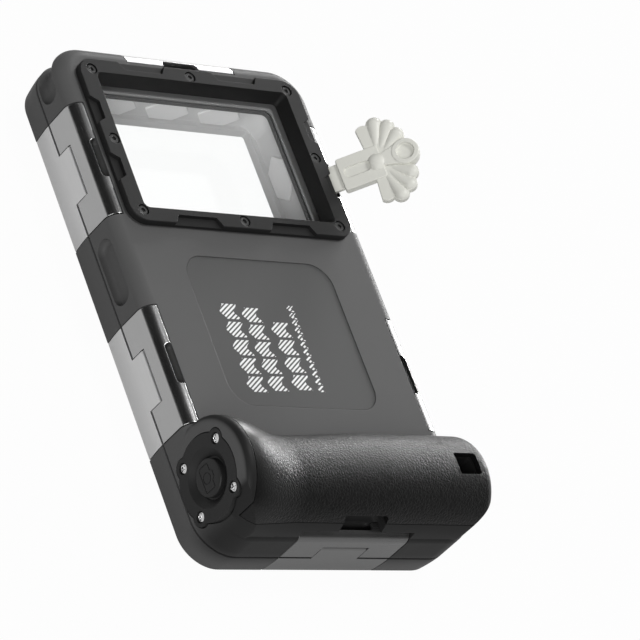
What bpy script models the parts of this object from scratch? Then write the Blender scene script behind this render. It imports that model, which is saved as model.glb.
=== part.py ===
# Waterproof phone case: two rigid shells with six over-centre latches, a camera window, a padded phone
# cavity, a hand grip with a shutter button, a side button and a loose opening key.
#
# Frame: metres, +Z up. The case lies on its screen side, so z = 0 is the screen face and +Z points at the
# photographer. +Y is the camera-window end and the grip is at -Y. The origin is the screen face's centre.

import math

import bmesh
import bpy
from mathutils import Matrix, Vector

MM = 0.001
WELD = 0.000001

# Plan and heights of the closed case
CASE_WIDTH = 114.0 * MM
CASE_LENGTH = 200.0 * MM
CORNER_RADIUS = 14.0 * MM
SPLIT_HEIGHT = 10.2 * MM
SPLIT_GAP = 0.4 * MM
BACK_HEIGHT = 25.0 * MM
BACK_ROUND_IN = 5.4 * MM
BACK_ROUND_DOWN = 4.5 * MM
FRONT_TAPER = 1.1 * MM
FRONT_CHAMFER = 0.5 * MM
GAP = 0.3 * MM

# Cavity for the phone
SIDE_WALL = 12.0 * MM
END_WALL = 11.5 * MM
CAVITY_CORNER = 9.0 * MM
CAVITY_FLOOR = 3.8 * MM
BACK_WALL = 2.5 * MM

# Screen window, its seal and the ledge that holds them
FRONT_LEDGE = 2.7 * MM
FRONT_WINDOW_OVERLAP = 2.1 * MM
FRONT_WINDOW_THICKNESS = 1.1 * MM
FRONT_WINDOW_CORNER = 7.0 * MM
FRONT_SEAL_THICKNESS = 0.6 * MM

# Seal in the joint between the shells
MAIN_SEAL_WIDTH = 2.0 * MM
MAIN_SEAL_HEIGHT = 1.4 * MM
MAIN_SEAL_PROUD = 0.1 * MM
MAIN_SEAL_OFFSET = 3.2 * MM

# Padded ring round the phone
LINER_WALL = 1.6 * MM
LINER_BELOW_CEILING = 1.0 * MM
PAD_LENGTH = 20.0 * MM
PAD_HEIGHT = 9.6 * MM
PAD_PROUD = 1.0 * MM
PAD_PITCH = 30.0 * MM

# Camera window
WINDOW_WIDTH = 80.0 * MM
WINDOW_HEIGHT = 50.8 * MM
WINDOW_DROP = 42.4 * MM
WINDOW_CORNER = 2.4 * MM
GLASS_OVERLAP = 3.7 * MM
GLASS_THICKNESS = 2.0 * MM
GASKET_THICKNESS = 0.7 * MM
WINDOW_LEDGE = 1.6 * MM
WINDOW_CEILING_BELOW_BACK = 8.0 * MM

# Bezel round the camera window
BEZEL_RIM_SIDE = 6.5 * MM
BEZEL_RIM_END = 5.5 * MM
BEZEL_THICKNESS = 2.5 * MM
BEZEL_CORNER = 7.0 * MM
BEZEL_SKIRT = 2.0 * MM
BEZEL_FLARE = 1.6 * MM
BEZEL_EDGE_CHAMFER = 0.5 * MM
POCKET_SPREAD_LONG = 21.2 * MM
POCKET_SPREAD_SHORT = 12.1 * MM
POCKET_LONG_HALF = 11.2 * MM
POCKET_SHORT_HALF = 6.4 * MM
POCKET_SLOPE = 2.8 * MM
POCKET_REACH = 3.6 * MM
POCKET_DEPTH = 1.3 * MM

# Hex socket screws of the bezel
BEZEL_SCREW_HEAD = 1.9 * MM
BEZEL_SCREW_HEAD_HEIGHT = 1.3 * MM
BEZEL_SCREW_SHANK = 0.95 * MM
BEZEL_SCREW_LENGTH = 7.0 * MM
BEZEL_SCREW_SOCKET = 0.8 * MM
BEZEL_SCREW_CORNER_IN = 5.7 * MM
BEZEL_SCREW_CORNER_DOWN = 4.7 * MM
BEZEL_SCREW_MID_IN = 4.4 * MM
BEZEL_SCREW_MID_DOWN = 3.4 * MM
COUNTERBORE_LEDGE = 0.6 * MM

# Label recess, left bare
LABEL_WIDTH = 66.0 * MM
LABEL_LENGTH = 61.0 * MM
LABEL_CORNER = 9.0 * MM
LABEL_DEPTH = 0.4 * MM
LABEL_FROM_GRIP_END = 50.8 * MM

# Concave grooves in the side wall
GROOVE_HEIGHT = 16.0 * MM
GROOVE_HALF_HEIGHT = 4.3 * MM
GROOVE_DEPTH = 1.6 * MM
GROOVE_FROM_LEVER = 5.95 * MM
CORNER_GROOVE_STRAIGHT = 6.0 * MM

# Side button
SIDE_BUTTON_FROM_LEVER = 3.45 * MM
SIDE_BUTTON_HALF_HEIGHT = 3.9 * MM
SIDE_BUTTON_PROUD = 2.8 * MM
SIDE_BUTTON_BODY = 5.2 * MM
SIDE_BUTTON_TRAVEL = 1.2 * MM
SIDE_STEM_RADIUS = 1.5 * MM
SIDE_STEM_INSIDE = 0.8 * MM
SIDE_BUTTON_CROWN = 0.8 * MM
SIDE_SEAL_RADIUS = 2.8 * MM
SIDE_SEAL_THICKNESS = 1.0 * MM

# Latches. O is measured outwards from the case's outer face, along the local X of each latch.
SIDE_LATCH_LENGTH = 46.4 * MM
END_LATCH_LENGTH = 48.8 * MM
UPPER_LATCH_FROM_END = 49.2 * MM
LOWER_LATCH_FROM_END = 66.7 * MM
LATCH_RECESS_DEPTH = 5.7 * MM
LATCH_RECESS_ABOVE_BACK = 1.0 * MM
HINGE_INSET = 2.1 * MM
HINGE_HEIGHT = 11.7 * MM
LINK_RISE = 3.5 * MM
HINGE_PIN_RADIUS = 0.6 * MM
LINK_PIN_RADIUS = 0.55 * MM
PIN_HOLE_RADIUS = 0.8 * MM
PIN_SEAT = 1.5 * MM
LINK_PIN_SHORT = 0.4 * MM
LEVER_BARREL = 1.25 * MM
LEVER_WALL = 1.2 * MM
LEVER_NOTCH_HALF = 10.4 * MM
LEVER_NOTCH_TOP = 17.4 * MM
LEVER_EAR_WIDTH = 3.0 * MM
LEVER_EAR_RADIUS = 1.3 * MM
FINGER_NOTCH_HALF = 8.0 * MM
FINGER_NOTCH_LIP = 2.8 * MM
FINGER_NOTCH_CORNER = 1.6 * MM
PILL_RADIUS = 1.3 * MM
PILL_HALF_LENGTH = 8.0 * MM
PILL_BELOW_BACK = 1.8 * MM
HOOK_THICKNESS = 2.5 * MM
HOOK_LIP_REACH = 4.3 * MM
HOOK_LIP_HEIGHT = 1.2 * MM
LEVER_RELIEF = 1.1 * MM
LEVER_RELIEF_BEYOND_HINGE = 2.8 * MM
HOOK_TAB_BARREL = 1.35 * MM
HOOK_TAB_ROUND = 2.1 * MM

# Grip and button boss: round sections along X whose undersides line up
GRIP_UNDERSIDE = 0.6 * MM
BOSS_RADIUS = 20.9 * MM
BOSS_AXIS_HEIGHT = 25.2 * MM
BOSS_LENGTH = 4.0 * MM
BOSS_ROUND = 3.0 * MM
NECK_RADIUS = 18.5 * MM
NECK_FROM_LEFT = 29.0 * MM
GRIP_RADIUS = 19.4 * MM
GRIP_AXIS_HEIGHT = 22.2 * MM
GRIP_FULL_FROM_LEFT = 72.0 * MM
GRIP_END_ROUND = 4.5 * MM
GRIP_BASE = 12.0 * MM
GRIP_INSET = 0.05 * MM
FENCE_CORNER_EXTRA = 0.4 * MM
COVER_THICKNESS = 2.4 * MM
COVER_FROM_LEFT = 4.0 * MM
COVER_EDGE_RISE = 4.9 * MM

# Strap slot, its bar and the key slot
STRAP_SLOT_FROM_RIGHT = 6.1 * MM
STRAP_SLOT_WIDTH = 10.0 * MM
STRAP_SLOT_LENGTH = 8.4 * MM
STRAP_SLOT_DEPTH = 9.0 * MM
STRAP_BAR_RADIUS = 1.0 * MM
STRAP_BAR_BELOW = 5.9 * MM
STRAP_BAR_SEAT = 1.7 * MM
KEY_SLOT_WIDTH = 19.0 * MM
KEY_SLOT_HEIGHT = 7.4 * MM
KEY_SLOT_DEPTH = 8.0 * MM

# Electronics bay in the grip core
BAY_FROM_LEFT = 20.0 * MM
BAY_FROM_RIGHT = 11.0 * MM
BAY_WIDTH = 19.5 * MM
BAY_CEILING = 29.5 * MM
BAY_CLEARANCE = 1.0 * MM
BOARD_THICKNESS = 1.2 * MM
BOARD_LENGTH = 43.0 * MM
BATTERY_LENGTH = 34.0 * MM
BATTERY_HEIGHT = 5.4 * MM
BATTERY_FROM_END = 4.0 * MM
SWITCH_LENGTH = 5.6 * MM
SWITCH_WIDTH = 9.0 * MM
SWITCH_HEIGHT = 5.2 * MM
SWITCH_TIP_RADIUS = 1.4 * MM
SWITCH_TIP_PROUD = 0.5 * MM

# Shutter button. Depths are measured inwards from the case's left face.
PLATE_ABOVE_FRONT = 0.3 * MM
PLATE_THICKNESS = 2.4 * MM
PLATE_LOBE_RADIUS = 3.4 * MM
PLATE_SCREW_ACROSS = 9.3 * MM
PLATE_SCREW_ABOVE_FRONT = 5.5 * MM
PLATE_HOLE_OUTER = 10.3 * MM
PLATE_HOLE_INNER = 7.3 * MM
PLATE_SCREW_HEAD = 1.75 * MM
PLATE_SCREW_HEAD_HEIGHT = 0.7 * MM
PLATE_SCREW_SHANK = 0.9 * MM
PLATE_SCREW_LENGTH = 7.0 * MM
PLATE_SCREW_SINK = 0.2 * MM
PLATE_SCREW_CROSS_LENGTH = 2.2 * MM
PLATE_SCREW_CROSS_WIDTH = 0.44 * MM
PLATE_SCREW_CROSS_DEPTH = 0.4 * MM
CAP_RADIUS = 6.6 * MM
CAP_TOP = 0.1 * MM
FLANGE_RADIUS = 8.8 * MM
FLANGE_THICKNESS = 1.0 * MM
BUTTON_STEM_RADIUS = 1.9 * MM
BUTTON_TRAVEL = 1.5 * MM
HOUSING_BORE = 9.3 * MM
SPRING_SPACE = 5.0 * MM
SPRING_RADIUS = 4.2 * MM
SPRING_WIRE = 0.5 * MM
SPRING_TURNS = 4
STEM_SEAL_RADIUS = 2.9 * MM
STEM_SEAL_HEIGHT = 1.0 * MM

# Opening key. S is measured along the shaft from the blade's tip.
KEY_BLADE_WIDTH = 10.6 * MM
KEY_BLADE_THICKNESS = 1.6 * MM
KEY_BLADE_LENGTH = 4.4 * MM
KEY_SHAFT_WIDTH = 13.5 * MM
KEY_SHAFT_THICKNESS = 3.2 * MM
KEY_SHAFT_LENGTH = 18.5 * MM
KEY_LABEL_LENGTH = 10.0 * MM
KEY_LABEL_WIDTH = 4.4 * MM
KEY_LABEL_DEPTH = 0.5 * MM
KEY_LABEL_FROM_BLADE = 1.5 * MM
KEY_LABEL_CORNER = 1.8 * MM
KEY_HUB_RADIUS = 4.0 * MM
KEY_HUB_FLATNESS = 0.75
KEY_RING_AT = 29.5 * MM
KEY_RING_RADIUS = 5.2 * MM
KEY_RING_BORE = 3.4 * MM
KEY_RING_HEIGHT = 4.5 * MM
KEY_RING_DEPTH = 1.1 * MM
KEY_FAN_THICKNESS = 2.4 * MM
KEY_FAN_REACH = 0.9
KEY_PETAL_START = 2.0 * MM
KEY_PETAL_HALF_WIDTH = 2.9 * MM
KEY_PETAL_PROUD = 2.4 * MM
KEY_PETAL_REACHES = (16.4 * MM, 18.6 * MM, 17.8 * MM, 16.0 * MM)
KEY_PETAL_ANGLES = (93.0, 75.0, 57.0, 39.0)
KEY_TIP_FROM_WALL = 0.86 * MM
KEY_TIP_BELOW_BACK = 1.1 * MM
KEY_LEAN = 45.0
KEY_OFFSET_ALONG_LATCH = 0.4 * MM

# Facets
CORNER_STEPS = 6
SMALL_STEPS = 4
TAPER_STEPS = 2
GRIP_ARC_STEPS = 24
PIN_SIDES = 8
ROUND_SIDES = 32
SCREW_SIDES = 10

# Levels and places worked out from the sizes above
half_width = CASE_WIDTH / 2
half_length = CASE_LENGTH / 2
front_top = SPLIT_HEIGHT - SPLIT_GAP / 2
rear_bottom = SPLIT_HEIGHT + SPLIT_GAP / 2
side_top = BACK_HEIGHT - BACK_ROUND_DOWN
cavity_x = half_width - SIDE_WALL
cavity_y = half_length - END_WALL
front_rebate = FRONT_WINDOW_THICKNESS + FRONT_SEAL_THICKNESS + 2 * GAP
seal_x = cavity_x + MAIN_SEAL_OFFSET
seal_y = cavity_y + MAIN_SEAL_OFFSET
seal_bottom = front_top + MAIN_SEAL_PROUD - MAIN_SEAL_HEIGHT
window_x = WINDOW_WIDTH / 2
window_y = WINDOW_HEIGHT / 2
window_at = half_length - WINDOW_DROP
glass_x = window_x + GLASS_OVERLAP
glass_y = window_y + GLASS_OVERLAP
window_ceiling = BACK_HEIGHT - WINDOW_CEILING_BELOW_BACK
liner_top = window_ceiling - LINER_BELOW_CEILING
gasket_bottom = window_ceiling + WINDOW_LEDGE + GAP
glass_bottom = gasket_bottom + GASKET_THICKNESS + GAP
glass_top = glass_bottom + GLASS_THICKNESS
bezel_x = glass_x + BEZEL_RIM_SIDE
bezel_y = glass_y + BEZEL_RIM_END
bezel_bottom = BACK_HEIGHT + GAP
bezel_top = bezel_bottom + BEZEL_THICKNESS
label_at = -half_length + LABEL_FROM_GRIP_END + LABEL_LENGTH / 2
upper_latch_at = half_length - UPPER_LATCH_FROM_END
lower_latch_at = -half_length + LOWER_LATCH_FROM_END
groove_at = (upper_latch_at + lower_latch_at) / 2
from_groove_to_lever = (upper_latch_at - lower_latch_at - SIDE_LATCH_LENGTH) / 2
side_button_half = from_groove_to_lever - SIDE_BUTTON_FROM_LEVER
side_groove_half = from_groove_to_lever - GROOVE_FROM_LEVER
link_height = HINGE_HEIGHT + LINK_RISE
grip_low_y = -half_length + GRIP_UNDERSIDE
boss_y = grip_low_y + BOSS_RADIUS
strap_x = half_width - STRAP_SLOT_FROM_RIGHT - STRAP_SLOT_WIDTH / 2
strap_y = grip_low_y + GRIP_RADIUS
grip_top = GRIP_AXIS_HEIGHT + GRIP_RADIUS
bay_left = -half_width + BAY_FROM_LEFT
bay_right = half_width - BAY_FROM_RIGHT
bay_low_y = -cavity_y
bay_high_y = bay_low_y + BAY_WIDTH
plate_radius = BOSS_AXIS_HEIGHT - front_top - PLATE_ABOVE_FRONT
plate_screw_up = BOSS_AXIS_HEIGHT - front_top - PLATE_SCREW_ABOVE_FRONT
flange_top = PLATE_THICKNESS + GAP
flange_bottom = flange_top + FLANGE_THICKNESS
housing_floor = flange_bottom + SPRING_SPACE
switch_left = bay_left + GAP

# Name, place on the outer face, turn about Z and length of each latch
LATCHES = (
    ("left_upper", (-half_width, upper_latch_at), 180.0, SIDE_LATCH_LENGTH),
    ("left_lower", (-half_width, lower_latch_at), 180.0, SIDE_LATCH_LENGTH),
    ("right_upper", (half_width, upper_latch_at), 0.0, SIDE_LATCH_LENGTH),
    ("right_lower", (half_width, lower_latch_at), 0.0, SIDE_LATCH_LENGTH),
    ("top", (0.0, half_length), 90.0, END_LATCH_LENGTH),
    ("bottom", (0.0, -half_length), -90.0, END_LATCH_LENGTH),
)

# Outlines lie in one of these planes and are drawn out along the third axis.
PLANES = {
    "XY": (Matrix.Identity(4), 1.0),
    "XZ": (Matrix.Rotation(math.radians(90.0), 4, "X"), -1.0),
    "YZ": (Matrix(((0, 0, 1, 0), (1, 0, 0, 0), (0, 1, 0, 0), (0, 0, 0, 1))), 1.0),
}
AXES = {
    "X": Matrix.Rotation(math.radians(90.0), 4, "Y"),
    "-X": Matrix.Rotation(math.radians(-90.0), 4, "Y"),
    "Y": Matrix.Rotation(math.radians(-90.0), 4, "X"),
    "Z": Matrix.Identity(4),
}


# Scene and materials


def new_collection(name):
    made = bpy.data.collections.new(name)
    bpy.context.scene.collection.children.link(made)
    return made


def material(name, colour, roughness, metallic=0.0, alpha=1.0):
    made = bpy.data.materials.new(name)
    made.use_nodes = True
    shader = made.node_tree.nodes["Principled BSDF"]
    shader.inputs["Base Color"].default_value = (*colour, 1.0)
    shader.inputs["Roughness"].default_value = roughness
    shader.inputs["Metallic"].default_value = metallic
    shader.inputs["Alpha"].default_value = alpha
    made.diffuse_color = (*colour, alpha)
    return made


def add_piece(name, data, look, place=(0.0, 0.0, 0.0), parent=None):
    piece = bpy.data.objects.new(name, data)
    piece.location = place
    piece.parent = parent
    if not data.materials:
        data.materials.append(look)
    if hasattr(data, "shade_smooth"):
        data.shade_smooth()
        data.set_sharp_from_angle(angle=math.radians(28.0))
    PARTS.objects.link(piece)
    return piece


# Mesh making


def evaluated_mesh(holder):
    bpy.context.view_layer.update()
    graph = bpy.context.evaluated_depsgraph_get()
    return bpy.data.meshes.new_from_object(holder.evaluated_get(graph))


def cleaned(mesh):
    work = bmesh.new()
    work.from_mesh(mesh)
    bmesh.ops.remove_doubles(work, verts=work.verts, dist=WELD)
    bmesh.ops.recalc_face_normals(work, faces=work.faces)
    work.to_mesh(mesh)
    work.free()
    return mesh


def merged(name, meshes):
    work = bmesh.new()
    for mesh in meshes:
        work.from_mesh(mesh)
    made = bpy.data.meshes.new(name)
    work.to_mesh(made)
    work.free()
    return made


def moved(mesh, matrix):
    copy = mesh.copy()
    copy.transform(matrix)
    return copy


def prism(name, loops, low, high, plane="XY"):
    # A filled outline, with holes as further loops, drawn out from low to high. The curve is drawn in
    # millimetres, because a flat fill loses points that lie close together.
    curve = bpy.data.curves.new(name, "CURVE")
    curve.dimensions = "2D"
    curve.fill_mode = "BOTH"
    curve.extrude = (high - low) / 2 / MM
    for loop in loops:
        kept = [p for p, q in zip(loop, loop[1:] + loop[:1]) if math.dist(p, q) > WELD]
        spline = curve.splines.new("POLY")
        spline.points.add(len(kept) - 1)
        for point, (a, b) in zip(spline.points, kept):
            point.co = (a / MM, b / MM, 0.0, 1.0)
        spline.use_cyclic_u = True
    holder = bpy.data.objects.new(name, curve)
    bpy.context.scene.collection.objects.link(holder)
    mesh = evaluated_mesh(holder)
    bpy.data.objects.remove(holder)
    bpy.data.curves.remove(curve)
    turn, sign = PLANES[plane]
    lift = Matrix.Translation((0.0, 0.0, sign * (low + high) / 2))
    mesh.transform(turn @ lift @ Matrix.Scale(MM, 4))
    return cleaned(mesh)


def loft(name, rings):
    # Joins rings of equal length into one closed skin with flat ends.
    work = bmesh.new()
    layers = [[work.verts.new(point) for point in ring] for ring in rings]
    for lower, upper in zip(layers, layers[1:]):
        for i, corner in enumerate(lower):
            following = (i + 1) % len(lower)
            work.faces.new((corner, lower[following], upper[following], upper[i]))
    work.faces.new(reversed(layers[0]))
    work.faces.new(layers[-1])
    mesh = bpy.data.meshes.new(name)
    work.to_mesh(mesh)
    work.free()
    return cleaned(mesh)


def turned(name, profile, steps=ROUND_SIDES, closed=False):
    # Turns a profile of (radius, height) points about Z. An open profile starts and ends on the axis.
    edges = [(i, i + 1) for i in range(len(profile) - 1)]
    if closed:
        edges.append((len(profile) - 1, 0))
    line = bpy.data.meshes.new(name)
    line.from_pydata([(radius, 0.0, height) for radius, height in profile], edges, [])
    holder = bpy.data.objects.new(name, line)
    bpy.context.scene.collection.objects.link(holder)
    screw = holder.modifiers.new("turn", "SCREW")
    screw.steps = steps
    screw.render_steps = steps
    screw.use_merge_vertices = True
    screw.merge_threshold = WELD
    mesh = evaluated_mesh(holder)
    bpy.data.objects.remove(holder)
    return cleaned(mesh)


def cylinder(name, radius, low, high, axis="Z", centre=(0.0, 0.0, 0.0), sides=PIN_SIDES):
    work = bmesh.new()
    bmesh.ops.create_cone(
        work, cap_ends=True, segments=sides, radius1=radius, radius2=radius, depth=high - low
    )
    mesh = bpy.data.meshes.new(name)
    work.to_mesh(mesh)
    work.free()
    lift = Matrix.Translation((0.0, 0.0, (low + high) / 2))
    mesh.transform(Matrix.Translation(centre) @ AXES[axis] @ lift)
    return mesh


def box(name, low, high):
    work = bmesh.new()
    bmesh.ops.create_cube(work, size=1.0)
    mesh = bpy.data.meshes.new(name)
    work.to_mesh(mesh)
    work.free()
    size = Vector(high) - Vector(low)
    middle = (Vector(high) + Vector(low)) / 2
    mesh.transform(Matrix.Translation(middle) @ Matrix.Diagonal((*size, 1.0)))
    return mesh


def carve(target, label, meshes, operation="DIFFERENCE"):
    # Cuts, joins or intersects the target with the meshes, which don't touch one another.
    cutter = bpy.data.objects.new(target.name + "_" + label, merged(label, meshes))
    CUTTERS.objects.link(cutter)
    cutter.parent = target.parent
    cutter.location = target.location
    cutter.hide_render = True
    cutter.display_type = "WIRE"
    modifier = target.modifiers.new(label, "BOOLEAN")
    modifier.operation = operation
    modifier.object = cutter
    # The grip's skin meets the case at shallow angles, where the exact solver leaves slivers.
    modifier.solver = "MANIFOLD" if target.name in ("rear_shell", "grip_cover") else "EXACT"
    # Each one is switched on once, at the end, so that the scene stays quick while it is built.
    modifier.show_viewport = False
    modifier.show_render = False


def switch_on(piece):
    for modifier in piece.modifiers:
        modifier.show_viewport = True
        modifier.show_render = True


def finished_mesh(name, mesh, steps, solver="EXACT"):
    # Applies cuts and joins to a mesh that several objects then share.
    holder = bpy.data.objects.new(name, mesh)
    bpy.context.scene.collection.objects.link(holder)
    helpers = []
    for label, other, operation in steps:
        helper = bpy.data.objects.new(label, other)
        bpy.context.scene.collection.objects.link(helper)
        helpers.append(helper)
        modifier = holder.modifiers.new(label, "BOOLEAN")
        modifier.operation = operation
        modifier.object = helper
        modifier.solver = solver
    result = evaluated_mesh(holder)
    for used in [holder, *helpers]:
        bpy.data.objects.remove(used)
    result.name = name
    return cleaned(result)


# Outlines, as lists of (a, b) points


def arc(centre, radius, start, end, steps):
    angles = [math.radians(start + (end - start) * i / steps) for i in range(steps + 1)]
    return [(centre[0] + radius * math.cos(t), centre[1] + radius * math.sin(t)) for t in angles]


def ellipse_arc(centre, radius_a, radius_b, start, end, steps):
    angles = [math.radians(start + (end - start) * i / steps) for i in range(steps + 1)]
    return [(centre[0] + radius_a * math.cos(t), centre[1] + radius_b * math.sin(t)) for t in angles]


def circle(centre, radius, steps=PIN_SIDES):
    return arc(centre, radius, 0.0, 360.0, steps)[:-1]


def rounded_rect(half_a, half_b, radius, centre=(0.0, 0.0), steps=CORNER_STEPS):
    points = []
    for sign_a, sign_b, start in ((1, 1, 0.0), (-1, 1, 90.0), (-1, -1, 180.0), (1, -1, 270.0)):
        corner = (centre[0] + sign_a * (half_a - radius), centre[1] + sign_b * (half_b - radius))
        points += arc(corner, radius, start, start + 90.0, steps)
    return points


def at_height(outline, height):
    return [(a, b, height) for a, b in outline]


def case_ring(inset, height):
    radius = CORNER_RADIUS - inset
    return at_height(rounded_rect(half_width - inset, half_length - inset, radius), height)


def ease(value, low, high):
    share = min(1.0, max(0.0, (value - low) / (high - low)))
    return share * share * (3.0 - 2.0 * share)


def latch_matrix(place, turn):
    return Matrix.Translation((*place, 0.0)) @ Matrix.Rotation(math.radians(turn), 4, "Z")


def at_latches(make):
    # One copy of a local shape, made for the latch's length, at each latch.
    return [moved(make(length), latch_matrix(place, turn)) for _, place, turn, length in LATCHES]


# Grip: radius, axis height and end rounding at each station along X


def grip_section(x):
    left = -half_width
    to_neck = ease(x, left + BOSS_LENGTH, left + NECK_FROM_LEFT)
    to_full = ease(x, left + NECK_FROM_LEFT, left + GRIP_FULL_FROM_LEFT)
    radius = BOSS_RADIUS + (NECK_RADIUS - BOSS_RADIUS) * to_neck + (GRIP_RADIUS - NECK_RADIUS) * to_full
    height = BOSS_AXIS_HEIGHT + (GRIP_AXIS_HEIGHT - BOSS_AXIS_HEIGHT) * to_neck
    return radius, height


def grip_loft(name, shrink, left, right, round_left, round_right):
    # Round sections whose ends are rounded off, cut flat at the grip's base.
    quarter = [i / SMALL_STEPS * math.pi / 2 for i in range(SMALL_STEPS + 1)]
    stations = [left + round_left * (1 - math.cos(t)) for t in quarter] if round_left else [left]
    inner_left = left + round_left
    inner_right = right - round_right
    spans = max(2, round((inner_right - inner_left) / (9 * MM)))
    stations += [inner_left + (inner_right - inner_left) * i / spans for i in range(1, spans)]
    stations += [inner_right + round_right * math.sin(t) for t in quarter]
    rings = []
    for x in stations:
        full, axis_height = grip_section(x)
        centre_y = grip_low_y + full
        from_left = max(0.0, round_left - (x - left))
        from_right = max(0.0, round_right - (right - x))
        radius = full - shrink
        radius -= round_left - math.sqrt(max(0.0, round_left**2 - from_left**2))
        radius -= round_right - math.sqrt(max(0.0, round_right**2 - from_right**2))
        start = math.degrees(math.asin((GRIP_BASE - axis_height) / radius))
        section = arc((centre_y, axis_height), radius, start, 180.0 - start, GRIP_ARC_STEPS)
        rings.append([(x, y, z) for y, z in section])
    body = loft(name, rings)
    inset = shrink + GRIP_INSET
    corner = CORNER_RADIUS + FENCE_CORNER_EXTRA - inset
    plan = rounded_rect(half_width - inset, half_length - inset, corner, steps=CORNER_STEPS + 2)
    fence = prism("fence", [plan], GRIP_BASE - 1 * MM, grip_top + 20 * MM)
    return finished_mesh(name, body, [("fence", fence, "INTERSECT")])


def outer_grip():
    return grip_loft(
        "grip", 0.0, -half_width + GRIP_INSET, half_width - GRIP_INSET, BOSS_ROUND, GRIP_END_ROUND
    )


def inner_grip(shrink):
    left = -half_width + COVER_FROM_LEFT - 3 * MM
    right = half_width - GRIP_INSET - shrink
    return grip_loft("core", shrink, left, right, 0.0, GRIP_END_ROUND - shrink)


def cover_region(rise, left):
    # The space above a line that starts at the back face and climbs towards the grip's underside
    line_start = BACK_HEIGHT + 0.1 * MM + rise
    low_y = -half_length - 2 * MM
    front_y = grip_low_y + 2 * GRIP_RADIUS
    outline = [
        (low_y, line_start + COVER_EDGE_RISE),
        (front_y, line_start),
        (front_y + 10 * MM, line_start),
        (front_y + 10 * MM, grip_top + 15 * MM),
        (low_y, grip_top + 15 * MM),
    ]
    return prism("region", [outline], left, half_width + 3 * MM, "YZ")


# Cutters that several pieces share


def strap_slot():
    plan = rounded_rect(STRAP_SLOT_WIDTH / 2, STRAP_SLOT_LENGTH / 2, 0.8 * MM, (strap_x, strap_y), 3)
    return prism("strap_slot", [plan], grip_top - STRAP_SLOT_DEPTH, grip_top + 5 * MM)


def key_slot():
    middle = BACK_HEIGHT + KEY_SLOT_HEIGHT / 2
    face = rounded_rect(KEY_SLOT_WIDTH / 2, KEY_SLOT_HEIGHT / 2, 1.2 * MM, (0.0, middle), 3)
    return prism("key_slot", [face], -half_length - 1 * MM, -half_length + KEY_SLOT_DEPTH, "XZ")


def groove(path, half_long):
    # A hollow with a round bottom that follows the wall and dies away in a half round at each end.
    # path(s) gives the point on the wall and its outward direction at distance s from the middle.
    stations = 8
    across = 4
    # The end stations stop just short, so that their rings keep a height.
    reach = half_long * 0.995
    rings = []
    for i in range(stations + 1):
        along = -reach * math.cos(math.pi * i / stations)
        over = max(0.0, abs(along) - (half_long - GROOVE_HALF_HEIGHT)) / GROOVE_HALF_HEIGHT
        share = math.sqrt(1.0 - over * over)
        (x, y), (out_x, out_y) = path(along)
        ring = []
        for k in range(across + 1):
            side = -1.0 + 2.0 * k / across
            sink = GROOVE_DEPTH * share * (1.0 - side * side)
            up = GROOVE_HEIGHT + GROOVE_HALF_HEIGHT * share * side
            ring.append((x - out_x * sink, y - out_y * sink, up))
        for side in (1.0, -1.0):
            up = GROOVE_HEIGHT + GROOVE_HALF_HEIGHT * share * side
            ring.append((x + out_x * MM, y + out_y * MM, up))
        rings.append(ring)
    return loft("groove", rings)


def side_path(along):
    return (-half_width, groove_at + along), (-1.0, 0.0)


def corner_path(side):
    # Up the side wall, round the corner and along the top wall. side is -1 for left and 1 for right.
    centre = (side * (half_width - CORNER_RADIUS), half_length - CORNER_RADIUS)
    quarter = CORNER_RADIUS * math.pi / 2

    def path(along):
        turn = along + quarter / 2
        if turn < 0:
            return (side * half_width, centre[1] + turn), (side, 0.0)
        if turn > quarter:
            return (centre[0] - side * (turn - quarter), half_length), (0.0, 1.0)
        angle = turn / CORNER_RADIUS
        out = (side * math.cos(angle), math.sin(angle))
        return (centre[0] + CORNER_RADIUS * out[0], centre[1] + CORNER_RADIUS * out[1]), out

    return path


def capsule(length_half, radius):
    round_end = arc((0.0, length_half - radius), radius, 90.0, 0.0, 2)
    other_end = arc((0.0, radius - length_half), radius, 0.0, -90.0, 2)
    return turned("capsule", round_end + other_end, PIN_SIDES)


# Front shell, screen window and seals


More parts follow.
